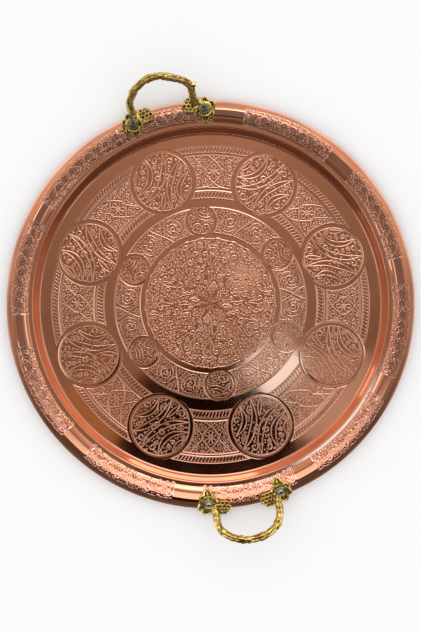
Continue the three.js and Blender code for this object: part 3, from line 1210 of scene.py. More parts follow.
@dataclass
class ChasedFloor:
    """The tray's floor: its plain underside plate, and the chased and plain pieces of its face."""

    section: Section
    copper: Material
    # The spacing of the vertices
    spacing: float = 0.57
    # How high the chased lines stand, and how deep the plain moats are dished
    ridge: float = 0.33
    dish_depth: float = 0.09
    # The height at which the pieces of the face stand on the underside plate
    seat: float = 0.42
    # The inner stamp was set off the tray's axis
    inner_shift: tuple[float, float] = (0.35, 1.77)
    centre_radius: float = 80.9
    centre_boldness: float = 1.75
    centre_seam: float = 82.9
    path_seam: float = 120.8
    outer_seam: float = 122.9
    edge_seam: float = 201.0
    inner_panel: tuple[float, float] = (86.6, 118.3)
    strip_low: tuple[float, float] = (131.0, 140.6)
    main_panel: tuple[float, float] = (143.6, 184.3)
    strip_high: tuple[float, float] = (187.2, 195.4)
    meander_period: float = 4.2
    # Sizes of the panels' reliefs round the tray
    inner_panel_width: float = 92
    main_panel_width: float = 80
    # The border lines' half widths, round the panels and round the key borders
    panel_border: float = 0.62
    strip_border: float = 0.55
    # How deep the grooves beside the key borders are, as a share of the moats' depth
    groove_depth: float = 1.2
    # How many steps go round the whole tray in the plain pieces
    plate_steps: int = 256
    path_steps: int = 480
    # Radius and depth of the soft mark that the spinner's stake leaves under the tray
    dimple: tuple[float, float] = (9, 0.1)
    large: Medallions = field(
        default_factory=lambda: Medallions(
            (10.05, 54.55, 100.05, 145.65, 191.25, 236.45, 281.25, 326.25), 161.9, 36.6, 41.2, 38.5
        )
    )
    small: Medallions = field(
        default_factory=lambda: Medallions(tuple(25.25 + 60 * i for i in range(6)), 101.7, 16.9, 19.9, 18.0)
    )

    def build(self) -> None:
        """Makes all the pieces of the floor."""
        self.underside()
        self.centre()
        self.path()
        relief = small_medallion_relief(self.small.radius - 0.8)
        for i, (angle, _) in enumerate(self.small.pairs(), 1):
            self.medallion(f"small_medallion_{i}", self.small, angle, relief, self.inner_shift)
        relief = large_medallion_relief(self.large.radius - 1.0)
        for i, (angle, _) in enumerate(self.large.pairs(), 1):
            self.medallion(f"large_medallion_{i}", self.large, angle, relief, (0, 0))
        self.scroll_panels()
        self.rosette_panels()

    def finish(self, piece: Piece, is_ring: bool = False) -> None:
        """Closes a piece of the face down to its seat and dresses it.

        Args:
            piece: the sheet.
            is_ring: whether the sheet has an inner edge too.
        """
        thicken(piece, self.seat, is_ring)
        finish_piece(piece, Slot.COPPER, self.copper, "tray_body")
        flatten_ground(piece, lambda r: 0 * r)

    def underside(self) -> None:
        """Makes the plate under all the pieces of the face, with a soft stake mark on its axis."""
        radius, depth = self.dimple
        dimple = [(share * radius, depth * math.cos(share * math.pi / 2)) for share in (0, 1 / 3, 2 / 3, 1)]
        floor = [(r, 0) for r in np.linspace(radius + 1, self.edge_seam, 24)]
        profile = [*dimple, *floor, (self.edge_seam, self.seat), (0, self.seat)]
        piece = spin_profile("floor_underside", profile, self.plate_steps)
        store(piece, "chasing", np.zeros(len(piece.data.vertices)))
        finish_piece(piece, Slot.COPPER, self.copper, "tray_body", sharp=30)

    def disc(self, name: str, radius: float) -> tuple[Piece, Array, Array]:
        """Adds a flat disc of even faces.

        Args:
            name: the piece's name.
            radius: its radius.

        Returns:
            The piece and its vertices' x and y about its centre.
        """
        count = math.ceil(radius * math.sqrt(math.pi) / self.spacing)
        piece, u, v = add_sheet(name, count, count)
        wide = np.abs(u) > np.abs(v)
        reach = np.where(wide, u, v)
        other = np.where(wide, v, u)
        angle = math.pi / 4 * np.divide(other, reach, out=np.zeros_like(u), where=np.abs(reach) > 1e-9)
        angle = np.where(wide, angle, math.pi / 2 - angle)
        return piece, radius * reach * np.cos(angle), radius * reach * np.sin(angle)

    def chase(
        self,
        piece: Piece,
        x: Array,
        y: Array,
        relief: Array,
        is_chased: Array,
        dish: Array,
        boldness: float = 1,
    ) -> None:
        """Places a piece's vertices, with its chased lines standing and its moats dished.

        Args:
            piece: the sheet.
            x: places along X.
            y: places along Y.
            relief: 1 at the top of a chased line and 0 at its foot.
            is_chased: where the chased fields are.
            dish: 1 in the middle of a moat and 0 off it.
            boldness: how high its lines stand beside those of the other pieces.
        """
        standing = np.where(is_chased, relief * boldness, 0)
        z = self.section.sheet + self.ridge * standing - self.dish_depth * dish
        place_points(piece, np.column_stack([x, y, z]))
        store(piece, "chasing", np.where(is_chased, 2 * relief - 1, 0))

    def centre(self) -> None:
        """Makes the centre disc."""
        relief = centre_relief(self.centre_radius - 0.9)
        piece, x, y = self.disc("centre_disc", self.centre_seam)
        is_chased = np.hypot(x, y) < self.centre_radius
        px, py = x + self.inner_shift[0], y + self.inner_shift[1]
        self.chase(piece, px, py, relief.at(x, y), is_chased, 0 * x, self.centre_boldness)
        self.finish(piece)

    def path(self) -> None:
        """Makes the plain path between the inner and the outer pattern."""
        piece, u, v = add_sheet("plain_path", self.path_steps, 3)
        angle = math.pi * (u + 1)
        share = (v + 1) / 2
        inner = self.path_seam * (1 - share)
        outer = self.outer_seam * share
        x = (inner + outer) * np.cos(angle) + self.inner_shift[0] * (1 - share)
        y = (inner + outer) * np.sin(angle) + self.inner_shift[1] * (1 - share)
        self.chase(piece, x, y, 0 * x, x > math.inf, 0 * x)
        edit(piece, merge_seams)
        self.finish(piece, is_ring=True)

    def medallion(
        self, name: str, row: Medallions, angle: float, relief: Relief, shift: tuple[float, float]
    ) -> None:
        """Makes one medallion with its share of the moat.

        Args:
            name: the piece's name.
            row: the ring of medallions that it is in.
            angle: its angle round the tray.
            relief: its chased work, with Y outwards.
            shift: where the ring's centre is.
        """
        piece, x, y = self.disc(name, row.seam)
        reach = np.hypot(x, y)
        out = np.array([math.cos(angle), math.sin(angle)])
        px = x * out[1] + (y + row.ring_radius) * out[0] + shift[0]
        py = -x * out[0] + (y + row.ring_radius) * out[1] + shift[1]
        self.chase(piece, px, py, relief.at(x, y), reach < row.radius, row.dish(reach))
        self.finish(piece)

    def band_sheet(
        self, name: str, row: Medallions, pair: tuple[float, float], low: float, high: float
    ) -> tuple[Piece, Array, Array]:
        """Adds the sheet between two medallions of a band.

        Args:
            name: the piece's name.
            row: the ring of medallions.
            pair: the angles of the two medallions.
            low: the band's inner radius.
            high: its outer radius.

        Returns:
            The piece, and its vertices' radii and angles.
        """
        widest = (pair[1] - pair[0]) * high
        piece, u, v = add_sheet(
            name, math.ceil(widest / self.spacing * 0.8), math.ceil((high - low) / self.spacing)
        )
        r = low + (high - low) * (v + 1) / 2
        gap = row.gap_angle(r)
        share = (u + 1) / 2
        return piece, r, (pair[0] + gap) * (1 - share) + (pair[1] - gap) * share

    def bordered(self, relief: Array, edge: Array, half: float) -> Array:
        """Adds a border line just inside a field's edge to its relief."""
        return np.maximum(relief, np.clip(1.7 * hollow(edge, 0, 2 * half), 0, 1))

    def scroll_panels(self) -> None:
        """Makes the panels between the small medallions."""
        low, high = self.inner_panel
        relief = scroll_panel_relief(self.inner_panel_width, high - low)
        for i, pair in enumerate(self.small.pairs(), 1):
            piece, r, angle = self.band_sheet(
                f"scroll_panel_{i}", self.small, pair, self.centre_seam, self.path_seam
            )
            x, y = r * np.cos(angle), r * np.sin(angle)
            near = np.minimum(*(self.small.distance(x, y, a) for a in pair))
            edge = np.minimum(np.minimum(r - low, high - r), near - self.small.moat)
            lines = relief.at((angle - sum(pair) / 2) * r, r - (low + high) / 2)
            lines = self.bordered(lines, edge, self.panel_border)
            x, y = x + self.inner_shift[0], y + self.inner_shift[1]
            self.chase(piece, x, y, lines, edge > 0, self.small.dish(near))
            self.finish(piece)

    def rosette_panels(self) -> None:
        """Makes the panels between the large medallions, each with a key border over and under it."""
        ends = (self.strip_low, self.strip_high)
        strips = [(a, b, meander_relief(b - a, self.meander_period)) for a, b in ends]
        low, high = self.main_panel
        main = rosette_panel_relief(self.main_panel_width, high - low)
        for i, pair in enumerate(self.large.pairs(), 1):
            piece, r, angle = self.band_sheet(
                f"rosette_panel_{i}", self.large, pair, self.outer_seam, self.edge_seam
            )
            x, y = r * np.cos(angle), r * np.sin(angle)
            near = np.minimum(*(self.large.distance(x, y, a) for a in pair))
            turn = angle - sum(pair) / 2
            inside = near - self.large.moat
            edge = np.minimum(np.minimum(r - low, high - r), inside)
            is_chased = edge > 0
            lines = self.bordered(main.at(turn * r, r - (low + high) / 2), edge, self.panel_border)
            for a, b, strip in strips:
                along = (turn * (a + b) / 2 / self.meander_period) % 1 * self.meander_period
                along = along - self.meander_period / 2
                edge = np.minimum(np.minimum(r - a, b - r), inside)
                is_strip = edge > 0
                key = self.bordered(strip.at(along, r - (a + b) / 2), edge, self.strip_border)
                lines = np.where(is_strip, key, lines)
                is_chased |= is_strip
            grooves = hollow(r, self.strip_low[1], low) + hollow(r, high, self.strip_high[0])
            dish = np.maximum(self.large.dish(near), np.where(inside > 0, self.groove_depth * grooves, 0))
            self.chase(piece, x, y, lines, is_chased, dish)
            self.finish(piece)


# The wall, the ledge and the rim


@dataclass
class ChasedRim:
    """The tray's wall and rim, in ten lengths that meet in the plain gaps between the cartouches."""

    section: Section
    copper: Material
    start: float
    # The spacing of the vertices, and how deep the cartouches' ground lies
    spacing: float = 0.72
    depth: float = 0.64
    # Where each cartouche starts and ends round the rim, in degrees
    cartouches: tuple[tuple[float, float], ...] = (
        (2.5, 31.75),
        (40.5, 68.75),
        (77.75, 107.5),
        (108.75, 137.5),
        (143.25, 172.0),
        (181.25, 210.25),
        (218.75, 247.75),
        (256.25, 285.25),
        (291.75, 320.25),
        (326.75, 355.0),
    )
    # Radii of the cartouches' edges in the middle of their length, and how much less they are at its ends
    inner_edge: float = 223.8
    inner_dip: float = 2.9
    outer_edge: float = 244.2
    outer_dip: float = 1.8
    relief_length: float = 119
    relief_height: float = 25
    # How much of the relief's height lies past the cartouche's own edges
    relief_margin: float = 4
    # The seeds of the three fillings that the cartouches take in turn
    seeds: tuple[int, ...] = (17, 19, 23)

    def build(self) -> None:
        """Makes the ten lengths."""
        reliefs = [cartouche_relief(self.relief_length, self.relief_height, seed) for seed in self.seeds]
        ends = [math.radians(b) for _, b in self.cartouches]
        starts = [math.radians(a) for a, _ in self.cartouches]
        for i, (start, end) in enumerate(zip(starts, ends)):
            before = ends[i - 1] - (TURN if i == 0 else 0)
            after = starts[(i + 1) % len(starts)] + (TURN if i == len(starts) - 1 else 0)
            relief = reliefs[i % len(reliefs)]
            self.length(f"rim_length_{i + 1}", (before + start) / 2, (end + after) / 2, start, end, relief)

    def length(self, name: str, low: float, high: float, start: float, end: float, relief: Relief) -> None:
        """Makes one length of the wall and rim.

        Args:
            name: the piece's name.
            low: the angle at which it begins.
            high: the angle at which it ends.
            start: the angle at which its cartouche begins.
            end: the angle at which its cartouche ends.
            relief: the cartouche's chased work.
        """
        top = self.section.top_face(self.start, self.spacing)
        away = self.section.normals(top)
        under = (top - away * self.section.sheet)[::-1]
        keep = np.ones(len(under), bool)
        keep[1:-1] = np.arange(1, len(under) - 1) % 3 == 0
        loop = np.vstack([top, under[keep], top[:1]])
        push = np.vstack([away, 0 * under[keep], away[:1]])
        steps = math.ceil((high - low) * self.section.bead_r / self.spacing)
        piece, u, v = add_sheet(name, steps, len(loop) - 1)
        row = np.rint((v + 1) / 2 * (len(loop) - 1)).astype(int)
        r, z = loop[row].T
        angle = low + (high - low) * (u + 1) / 2
        share = (angle - (start + end) / 2) / ((end - start) / 2)
        inner = self.inner_edge - self.inner_dip * share**2
        outer = self.outer_edge - self.outer_dip * share**2
        edge = np.minimum(r - inner, outer - r)
        edge = np.minimum(edge, (1 - np.abs(share)) * (end - start) / 2 * r)
        is_chased = (row < len(top)) & (edge > 0)
        across = (r - (inner + outer) / 2) / (outer - inner) * (self.relief_height - self.relief_margin)
        lines = np.maximum(
            relief.at(share * relief.width / 2, across), np.clip(1.7 * hollow(edge, 0, 1.5), 0, 1)
        )
        shift = np.where(is_chased, self.depth * (lines - 1), 0)
        r, z = r + push[row, 0] * shift, z + push[row, 1] * shift
        place_points(piece, np.column_stack([r * np.cos(angle), r * np.sin(angle), z]))
        store(piece, "chasing", np.where(is_chased, 2 * lines - 1, 0))
        close_ends(piece)
        finish_piece(piece, Slot.COPPER, self.copper, "tray_body")
        flatten_ground(piece, self.section.rim_angle)


# The handles and their rivets


# The shapes that the feet are built from, of radius 1
BALL = {"segments": 24, "ring_count": 16, "radius": 1}
HOOP = {"major_radius": 1, "major_segments": 32, "minor_segments": 12}
PLATE = {"vertices": 32, "radius": 1, "depth": 2}


@dataclass
class Handle:
    """A cast handle: a bark-covered twig whose feet are vine leaves and bunches of grapes."""

    section: Section
    name: str
    # Its angle round the tray, and how far its rivets are inside the outermost place for their burrs
    degrees: float
    set_in: float
    twig: tuple[tuple[float, float, float], ...]
    has_stub: bool
    brass: Material
    steel: Material
    rivet_spacing: float = 88
    burr_radius: float = 4
    foot_thickness: float = 3.4
    pad_height: float = 4.6
    pad_radius: float = 6.2
    leaf_radius: float = 10.4
    # The leaf's lobes: the angle from straight outwards to the handle's middle, the reach and the radius
    lobes: tuple[tuple[float, float, float], ...] = (
        (-10, 14.6, 6.2),
        (50, 12.2, 5.2),
        (112, 12.2, 5.0),
        (182, 16.8, 6.0),
        (238, 13.8, 5.4),
        (294, 14.6, 6.0),
    )
    # The bunch's middle: how far it is from the rivet towards the handle's middle, and outwards
    bunch_place: tuple[float, float] = (16.6, 4.6)
    bunch_radius: float = 10.4
    # A plate and two lumps that join the bunch to the leaf: their places, as above, and their radii
    bunch_web: tuple[float, float, float] = (9.2, 4.4, 7.4)
    bunch_lumps: tuple[tuple[float, float, float], ...] = ((7.4, 9.6, 6.6), (8.6, 3.0, 4.2))
    grape_radius: float = 2.5
    grape_bar: float = 0.92
    grape_spacing: float = 4.9
    grape_rows: tuple[int, ...] = (2, 3, 4, 3)
    twig_radius: float = 4.35
    twig_sink: float = 0.7
    knot_swell: float = 0.7
    knot_places: tuple[float, ...] = (0.02, 0.24, 0.41, 0.58, 0.76, 0.98)
    stub_radius: float = 3.0
    stub_length: float = 8.8
    stub_place: float = 0.78
    head_radius: float = 5.0
    head_height: float = 3.2
    # The room that the casting leaves round a rivet's head, and up to which height over the rim
    head_room: tuple[float, float] = (0.35, 16)
    shank_radius: float = 2.4
    burr_bore: float = 2.7
    burr_thickness: float = 1.2
    tail_radius: float = 3.5
    tail_height: float = 1.6
    voxel: float = 0.42
    # How often the skin is smoothed to find its hollows, and the depth that counts as a full one
    hollow_rounds: int = 14
    hollow_depth: float = 0.28

    def __post_init__(self) -> None:
        """Works out where the rivets stand, in the handle's own frame."""
        outermost = self.section.roll_r - self.section.roll_radius - self.section.fit_gap - self.burr_radius
        self.rivet_r = outermost - self.set_in
        self.rivet_x = self.rivet_spacing / 2
        self.rivet_y = math.sqrt(self.rivet_r**2 - self.rivet_x**2)

    def turn_to_rim(self, points: Array) -> Array:
        """Turns points from the handle's own frame, with +Y outwards, to the tray's.

        Args:
            points: the points, one row each.

        Returns:
            The turned points.
        """
        angle = math.radians(self.degrees - 90)
        c, s = math.cos(angle), math.sin(angle)
        return points @ np.array([[c, s, 0], [-s, c, 0], [0, 0, 1]])

    def build(self) -> None:
        """Makes the casting, its rivets and their burrs."""
        parts = [self.bark(*self.twig_line(), "twig")]
        if self.has_stub:
            parts.append(self.stub())
        for side in (-1, 1):
            parts += self.foot(side)
        piece = join(f"handle_{self.name}_casting", parts)
        apply_modifier(piece, "REMESH", mode="VOXEL", voxel_size=self.voxel * MM)
        apply_modifier(piece, "SMOOTH", factor=0.4, iterations=2)
        points = self.seat(self.grained(piece, points_of(piece)))
        place_points(piece, self.turn_to_rim(points))
        # The hollow value darkens the brass in its hollows: patina and painted shade together
        store(piece, "hollow", self.hollows(piece))
        finish_piece(piece, Slot.BRASS, self.brass, f"handle_{self.name}", sharp=75)
        for side, word in ((-1, "left"), (1, "right")):
            self.rivet(side, word)

    def twig_line(self) -> tuple[Array, Array]:
        """Returns the twig's middle line and its radius at each point.

        Returns:
            The points, and the radii.
        """
        sink = self.twig_sink
        knots = [(x, self.rivet_y + out - sink, self.section.crest + up - sink) for x, out, up in self.twig]
        line = smooth_line(knots, 26)
        run = run_along(line)
        share = run / run[-1]
        swell = sum(np.exp(-(((share - k) / 0.022) ** 2)) for k in self.knot_places)
        return line, self.twig_radius + self.knot_swell * swell

    def bark(self, line: Array, radius: Array, name: str, around: int = 48) -> Piece:
        """Makes a closed tube with ridged bark along a line.

        Args:
            line: its middle line.
            radius: its radius at each point of the line.
            name: the piece's name.
            around: faces round it.

        Returns:
            The closed tube.
        """
        piece, u, v = add_sheet(name, around, len(line) - 1)
        row = np.rint((v + 1) / 2 * (len(line) - 1)).astype(int)
        turn = math.pi * (u + 1)
        ahead = np.gradient(line, axis=0)
        ahead /= np.linalg.norm(ahead, axis=1)[:, None]
        side = np.cross(ahead, (0, 0, 1.0))
        side /= np.linalg.norm(side, axis=1)[:, None]
        up = np.cross(side, ahead)
        run = run_along(line)[row]
        # Ridges that wander round the twig as they run along it, as shares of its radius
        ridges = np.sin(5 * turn + 1.5 * np.sin(run / 6.1) + 0.16 * run) * 0.075
        ridges += np.sin(3 * turn - 0.45 * run) * np.sin(run / 2.4 + 2 * turn) * 0.08
        ridges += np.sin(9 * turn - 1.1 * np.sin(run / 4.3) - 0.23 * run) * 0.045
        ridges = ridges * radius[row]
        r = (radius[row] + ridges)[:, None]
        points = line[row] + r * (np.cos(turn)[:, None] * side[row] + np.sin(turn)[:, None] * up[row])
        place_points(piece, points)
        close_ends(piece)
        return piece

    def stub(self) -> Piece:
        """Makes the stub of a side shoot that was cut off.

        Returns:
            The closed stub.
        """
        line, _ = self.twig_line()
        run = run_along(line)
        i = int(np.searchsorted(run, self.stub_place * run[-1]))
        ahead = line[i + 1] - line[i - 1]
        lean = np.array([ahead[0] - ahead[1], ahead[1] + ahead[0], 0])
        lean *= self.stub_length / np.linalg.norm(lean)
        way = line[i] + np.linspace(0, 1, 20)[:, None] * lean
        return self.bark(way, self.stub_radius + 0.5 * np.linspace(0.6, -0.2, 20), "stub")

    def rivet_place(self, side: int) -> tuple[Array, Array, Array]:
        """Returns a rivet's place on the rim's face, its axis and the direction outwards.

        Args:
            side: -1 for the left foot and 1 for the right one.

        Returns:
            The three vectors, in the handle's own frame.
        """
        centre = np.array([side * self.rivet_x, self.rivet_y, float(self.section.rim_height(self.rivet_r))])
        outwards = np.array([centre[0], centre[1], 0]) / self.rivet_r
        tilt = float(self.section.rim_angle(self.rivet_r))
        axis = outwards * math.sin(tilt) + np.array([0, 0, math.cos(tilt)])
        return centre, axis, outwards

    def on_foot(self, side: int, along: float, out: float, lift: float) -> tuple[Array, Array]:
        """Returns a place over the rim near a rivet.

        Args:
            side: -1 for the left foot and 1 for the right one.
            along: how far it is along the rim, towards the handle's middle.
            out: how far it is outwards.
            lift: how far it is over the rim's face.

        Returns:
            The place and the rim's upward normal there.
        """
        centre, _, outwards = self.rivet_place(side)
        inwards = np.array([-side * outwards[1], side * outwards[0], 0])
        p = centre + inwards * along + outwards * out
        r = float(np.hypot(p[0], p[1]))
        tilt = float(self.section.rim_angle(r))
        radial = np.array([p[0], p[1], 0]) / r
        normal = radial * math.sin(tilt) + np.array([0, 0, math.cos(tilt)])
        p[2] = float(self.section.rim_height(r))
        return p + normal * lift, normal

    def ball(self, place: Array, normal: Array, radius: float, flat: float) -> Piece:
        """Makes a ball at a place, flattened along a normal."""
        piece = add_primitive(bpy.ops.mesh.primitive_uv_sphere_add, "ball", **BALL)
        return self.set_down(piece, place, normal, radius, flat)

    def hoop(self, place: Array, normal: Array, radius: float, bar: float) -> Piece:
        """Makes a hoop of round bar at a place, square to a normal."""
        piece = add_primitive(bpy.ops.mesh.primitive_torus_add, "hoop", minor_radius=bar / radius, **HOOP)
        return self.set_down(piece, place, normal, radius, 1)

    def plate(self, place: Array, normal: Array, radius: float, half: float) -> Piece:
        """Makes a round plate at a place, square to a normal, with half its thickness on each side."""
        piece = add_primitive(bpy.ops.mesh.primitive_cylinder_add, "plate", **PLATE)
        return self.set_down(piece, place, normal, radius, half / radius)

    def set_down(self, piece: Piece, place: Array, normal: Array, size: float, flat: float) -> Piece:
        """Scales a piece, turns its Z axis to a normal and moves it to a place, all in its mesh.

        Args:
            piece: a primitive of radius 1 about the origin.
            place: where its middle goes.
            normal: where its Z axis points then.
            size: its new radius.
            flat: its height's share of its width.

        Returns:
            The same piece.
        """
        local = points_of(piece) * MM * np.array([1, 1, flat]) * size
        place_points(piece, stand(local, normal, place))
        return piece

    def foot(self, side: int) -> list[Piece]:
        """Makes the parts of one foot: the leaf, the pad that the rivet holds and the bunch of grapes.

        Args:
            side: -1 for the left foot and 1 for the right one.

        Returns:
            The parts.
        """
        rng = np.random.default_rng(41 + side + round(self.degrees))
        half = self.pad_height / 2
        pad = [
            self.plate(*self.on_foot(side, 0, 0, half), self.pad_radius, half),
            self.hoop(*self.on_foot(side, 0, 0, self.pad_height - 0.2), self.pad_radius - 0.5, 0.8),
        ]
        return [*self.leaf(side, rng), *pad, *self.bunch(side, rng)]

    def leaf(self, side: int, rng: np.random.Generator) -> list[Piece]:
        """Makes the leaf: its plate in lobes, the ruffled edge that runs round them, and its veins.

        Args:
            side: -1 for the left foot and 1 for the right one.
            rng: the source of the small differences between the lobes.

        Returns:
            The parts.
        """
        # Half the thickness of the leaf's middle, and of its lobes
        core, thin = (self.foot_thickness / 2 * share for share in (0.85, 0.6))
        parts = [self.plate(*self.on_foot(side, 0, 0, core), self.leaf_radius, core)]
        edge = []
        farthest = self.rivet_r - self.section.bead_inner - 0.5
        for degrees, reach, radius in self.lobes:
            angle = math.radians(degrees + rng.uniform(-7, 7))
            if math.cos(angle) < -0.5:
                reach = min(reach, farthest)
            along, out = ((reach - radius) * v for v in (math.sin(angle), math.cos(angle)))
            parts.append(self.plate(*self.on_foot(side, along, out, thin), radius, thin))
            rise = rng.uniform(1.7, 2.7)
            for t in np.linspace(-1.25, 1.25, 7):
                turn, inset = angle + t, radius - 1.4
                place = (along + inset * math.sin(turn), out + inset * math.cos(turn))
                edge.append((*place, 1.8 + rise * math.cos(t) ** 2))
            vein = [
                self.on_foot(side, share * along, share * out, lift)[0]
                for share, lift in ((0.7, 2.5), (0.95, 2.0), (1.2, 1.8), (1.42, 2.2))
            ]
            parts.append(self.bark(smooth_line(vein, 5), np.full(16, 0.8), "vein", 14))
        line = smooth_line([*edge, edge[0]], 4)
        way = np.array([self.on_foot(side, *place)[0] for place in line])
        thick = 1.35 + 0.2 * np.sin(np.linspace(0, 31, len(way)))
        parts.append(self.bark(way, thick, "leaf_edge", 18))
        return parts

    def bunch(self, side: int, rng: np.random.Generator) -> list[Piece]:
        """Makes the bunch of grapes and the plate under it.

        Args:
            side: -1 for the left foot and 1 for the right one.
            rng: the source of the small differences between the grapes.

        Returns:
            The parts.
        """
        half = self.foot_thickness * 0.44
        parts = [
            self.plate(*self.on_foot(side, along, out, half), radius, half)
            for along, out, radius in ((*self.bunch_place, self.bunch_radius), self.bunch_web)
        ]
        for along, out, radius in self.bunch_lumps:
            parts.append(self.ball(*self.on_foot(side, along, out, 2.2), radius, 0.6))
        rows = len(self.grape_rows)
        for row, count in enumerate(self.grape_rows):
            for i in range(count):
                along = self.bunch_place[0] + (i - (count - 1) / 2) * self.grape_spacing
                out = self.bunch_place[1] + ((rows - 1) / 2 - row) * self.grape_spacing * math.sqrt(0.75)
                place = self.on_foot(side, along, out, 3.5 + rng.uniform(-0.3, 0.4))
                parts.append(self.hoop(*place, self.grape_radius, self.grape_bar))
        return parts

    def grained(self, piece: Piece, points: Array) -> Array:
        """Roughens the casting's skin along its normals, as sand casting leaves it.

        Args:
            piece: the casting.
            points: its vertices.

        Returns:
            The moved points.
        """
        lift = [
            0.36 * noise.noise(Vector(p) / 2.6) + 0.22 * noise.noise(Vector(p) / 1.1 + Vector((7, 3, 1)))
            for p in points
        ]
        return points + vectors_of(piece, "normal") * (np.array(lift)[:, None] - 0.12)

    def seat(self, points: Array) -> Array:
        """Clears the casting from the rim under it and from the rivets' heads.

        Args:
            points: the casting's vertices.

        Returns:
            The moved points.
        """
        r = np.hypot(points[:, 0], points[:, 1])
        lowest = self.section.rim_height(r) + self.section.fit_gap / math.cos(self.section.bead_angle)
        points[:, 2] = np.where(
            (r < self.section.rim_radius + 1) & (points[:, 2] < lowest), lowest, points[:, 2]
        )
        gap, top = self.head_room
        for side in (-1, 1):
            centre, axis, _ = self.rivet_place(side)
            height = (points - centre) @ axis
            off = np.linalg.norm(points - centre - height[:, None] * axis, axis=1)
            over = (off < self.head_radius + gap) & (height > self.pad_height) & (height < top)
            points[over] -= (height[over] - self.pad_height)[:, None] * axis
        return points

    def hollows(self, piece: Piece) -> Array:
        """Returns how deep in a hollow each vertex lies, from 0 on open faces to 1.

        Args:
            piece: the casting.

        Returns:
            A value for each vertex.
        """
        points = points_of(piece)
        edges = np.empty(len(piece.data.edges) * 2, np.int32)
        piece.data.edges.foreach_get("vertices", edges)
        a, b = edges.reshape(-1, 2).T
        count = np.bincount(np.concatenate([a, b]), minlength=len(points))[:, None]
        soft = points.copy()
        for _ in range(self.hollow_rounds):
            total = np.zeros_like(soft)
            for axis in range(3):
                total[:, axis] = np.bincount(a, soft[b, axis], len(points)) + np.bincount(
                    b, soft[a, axis], len(points)
                )
            soft = total / np.maximum(count, 1)
        depth = np.einsum("ij,ij->i", soft - points, vectors_of(piece, "normal"))
        return np.clip((depth + 0.01) / self.hollow_depth, 0, 1)

    def rivet(self, side: int, word: str) -> None:
        """Makes a rivet with a snapped head and a closed tail, and the burr that the tail holds.

        Args:
            side: -1 for the left foot and 1 for the right one.
            word: left or right, as in its node's name.
        """
        seat = self.pad_height + self.section.fit_gap
        crown = (self.head_radius**2 + self.head_height**2) / (2 * self.head_height)
        low = math.acos((crown - self.head_height) / crown)
        middle = seat + self.head_height - crown
        dome = [(crown * math.sin(a), middle + crown * math.cos(a)) for a in np.linspace(low, 0.42, 14)]
        dimple = [(r, dome[-1][1] - drop) for r, drop in ((1.9, 0.3), (1.6, 0.75), (0.9, 1.0), (0, 1.05))]
        burr_top = -self.section.sheet - self.section.fit_gap
        burr_foot = burr_top - self.burr_thickness
        tail = burr_foot - self.section.fit_gap
        tip, wide, shank = tail - self.tail_height, self.tail_radius, self.shank_radius
        stem = [(0, tip), (wide - 1.7, tip), (wide - 0.6, tail - 1.2), (wide, tail - 0.6), (wide, tail)]
        stem += [(shank, tail), (shank, seat), (self.head_radius - 0.15, seat)]
        bore, edge = self.burr_bore, self.burr_radius
        washer = [(bore, burr_foot), (edge - 0.2, burr_foot), (edge, burr_foot + 0.2)]
        washer += [(edge, burr_top - 0.45), (edge - 0.2, burr_top - 0.25), (bore, burr_top - 0.25)]
        centre, axis, _ = self.rivet_place(side)
        for kind, profile in (("rivet", [*stem, *dome, *dimple]), ("burr", washer)):
            piece = spin_profile(f"{kind}_{self.name}_{word}_turned", profile, 48)
            points = points_of(piece)
            # The dimple in the head takes the dark hollow colour: painted shade
            is_dimple = (np.hypot(points[:, 0], points[:, 1]) < 2.0) & (points[:, 2] > seat)
            store(piece, "hollow", 0.75 * is_dimple)
            place_points(piece, self.turn_to_rim(stand(points, axis, centre)))
            finish_piece(piece, Slot.RIVET, self.steel, f"{kind}_{self.name}_{word}", sharp=40)


# The studio


@dataclass(frozen=True)
class Card:
    """A round or square card over the tray that only its reflections show: a diffuser or a dark flag.

    It is placed by what the camera sees of it in the tray's floor, in millimetres to the right and up
    from the tray's axis, and by its height over the table.
    """

    name: str
    right: float
    up: float
    width: float
    length: float
    height: float
    light: float
    tint: str = "#ffffff"
    turn: float = 0
    corners: int = 4


@dataclass(frozen=True)
class Lamp:
    """A softbox round the tray: its azimuth and height in degrees, distance, size and brightness."""

    name: str
    azimuth: float
    elevation: float
    distance: float
    width: float
    length: float
    light: float
    tint: str = "#e4f3ff"


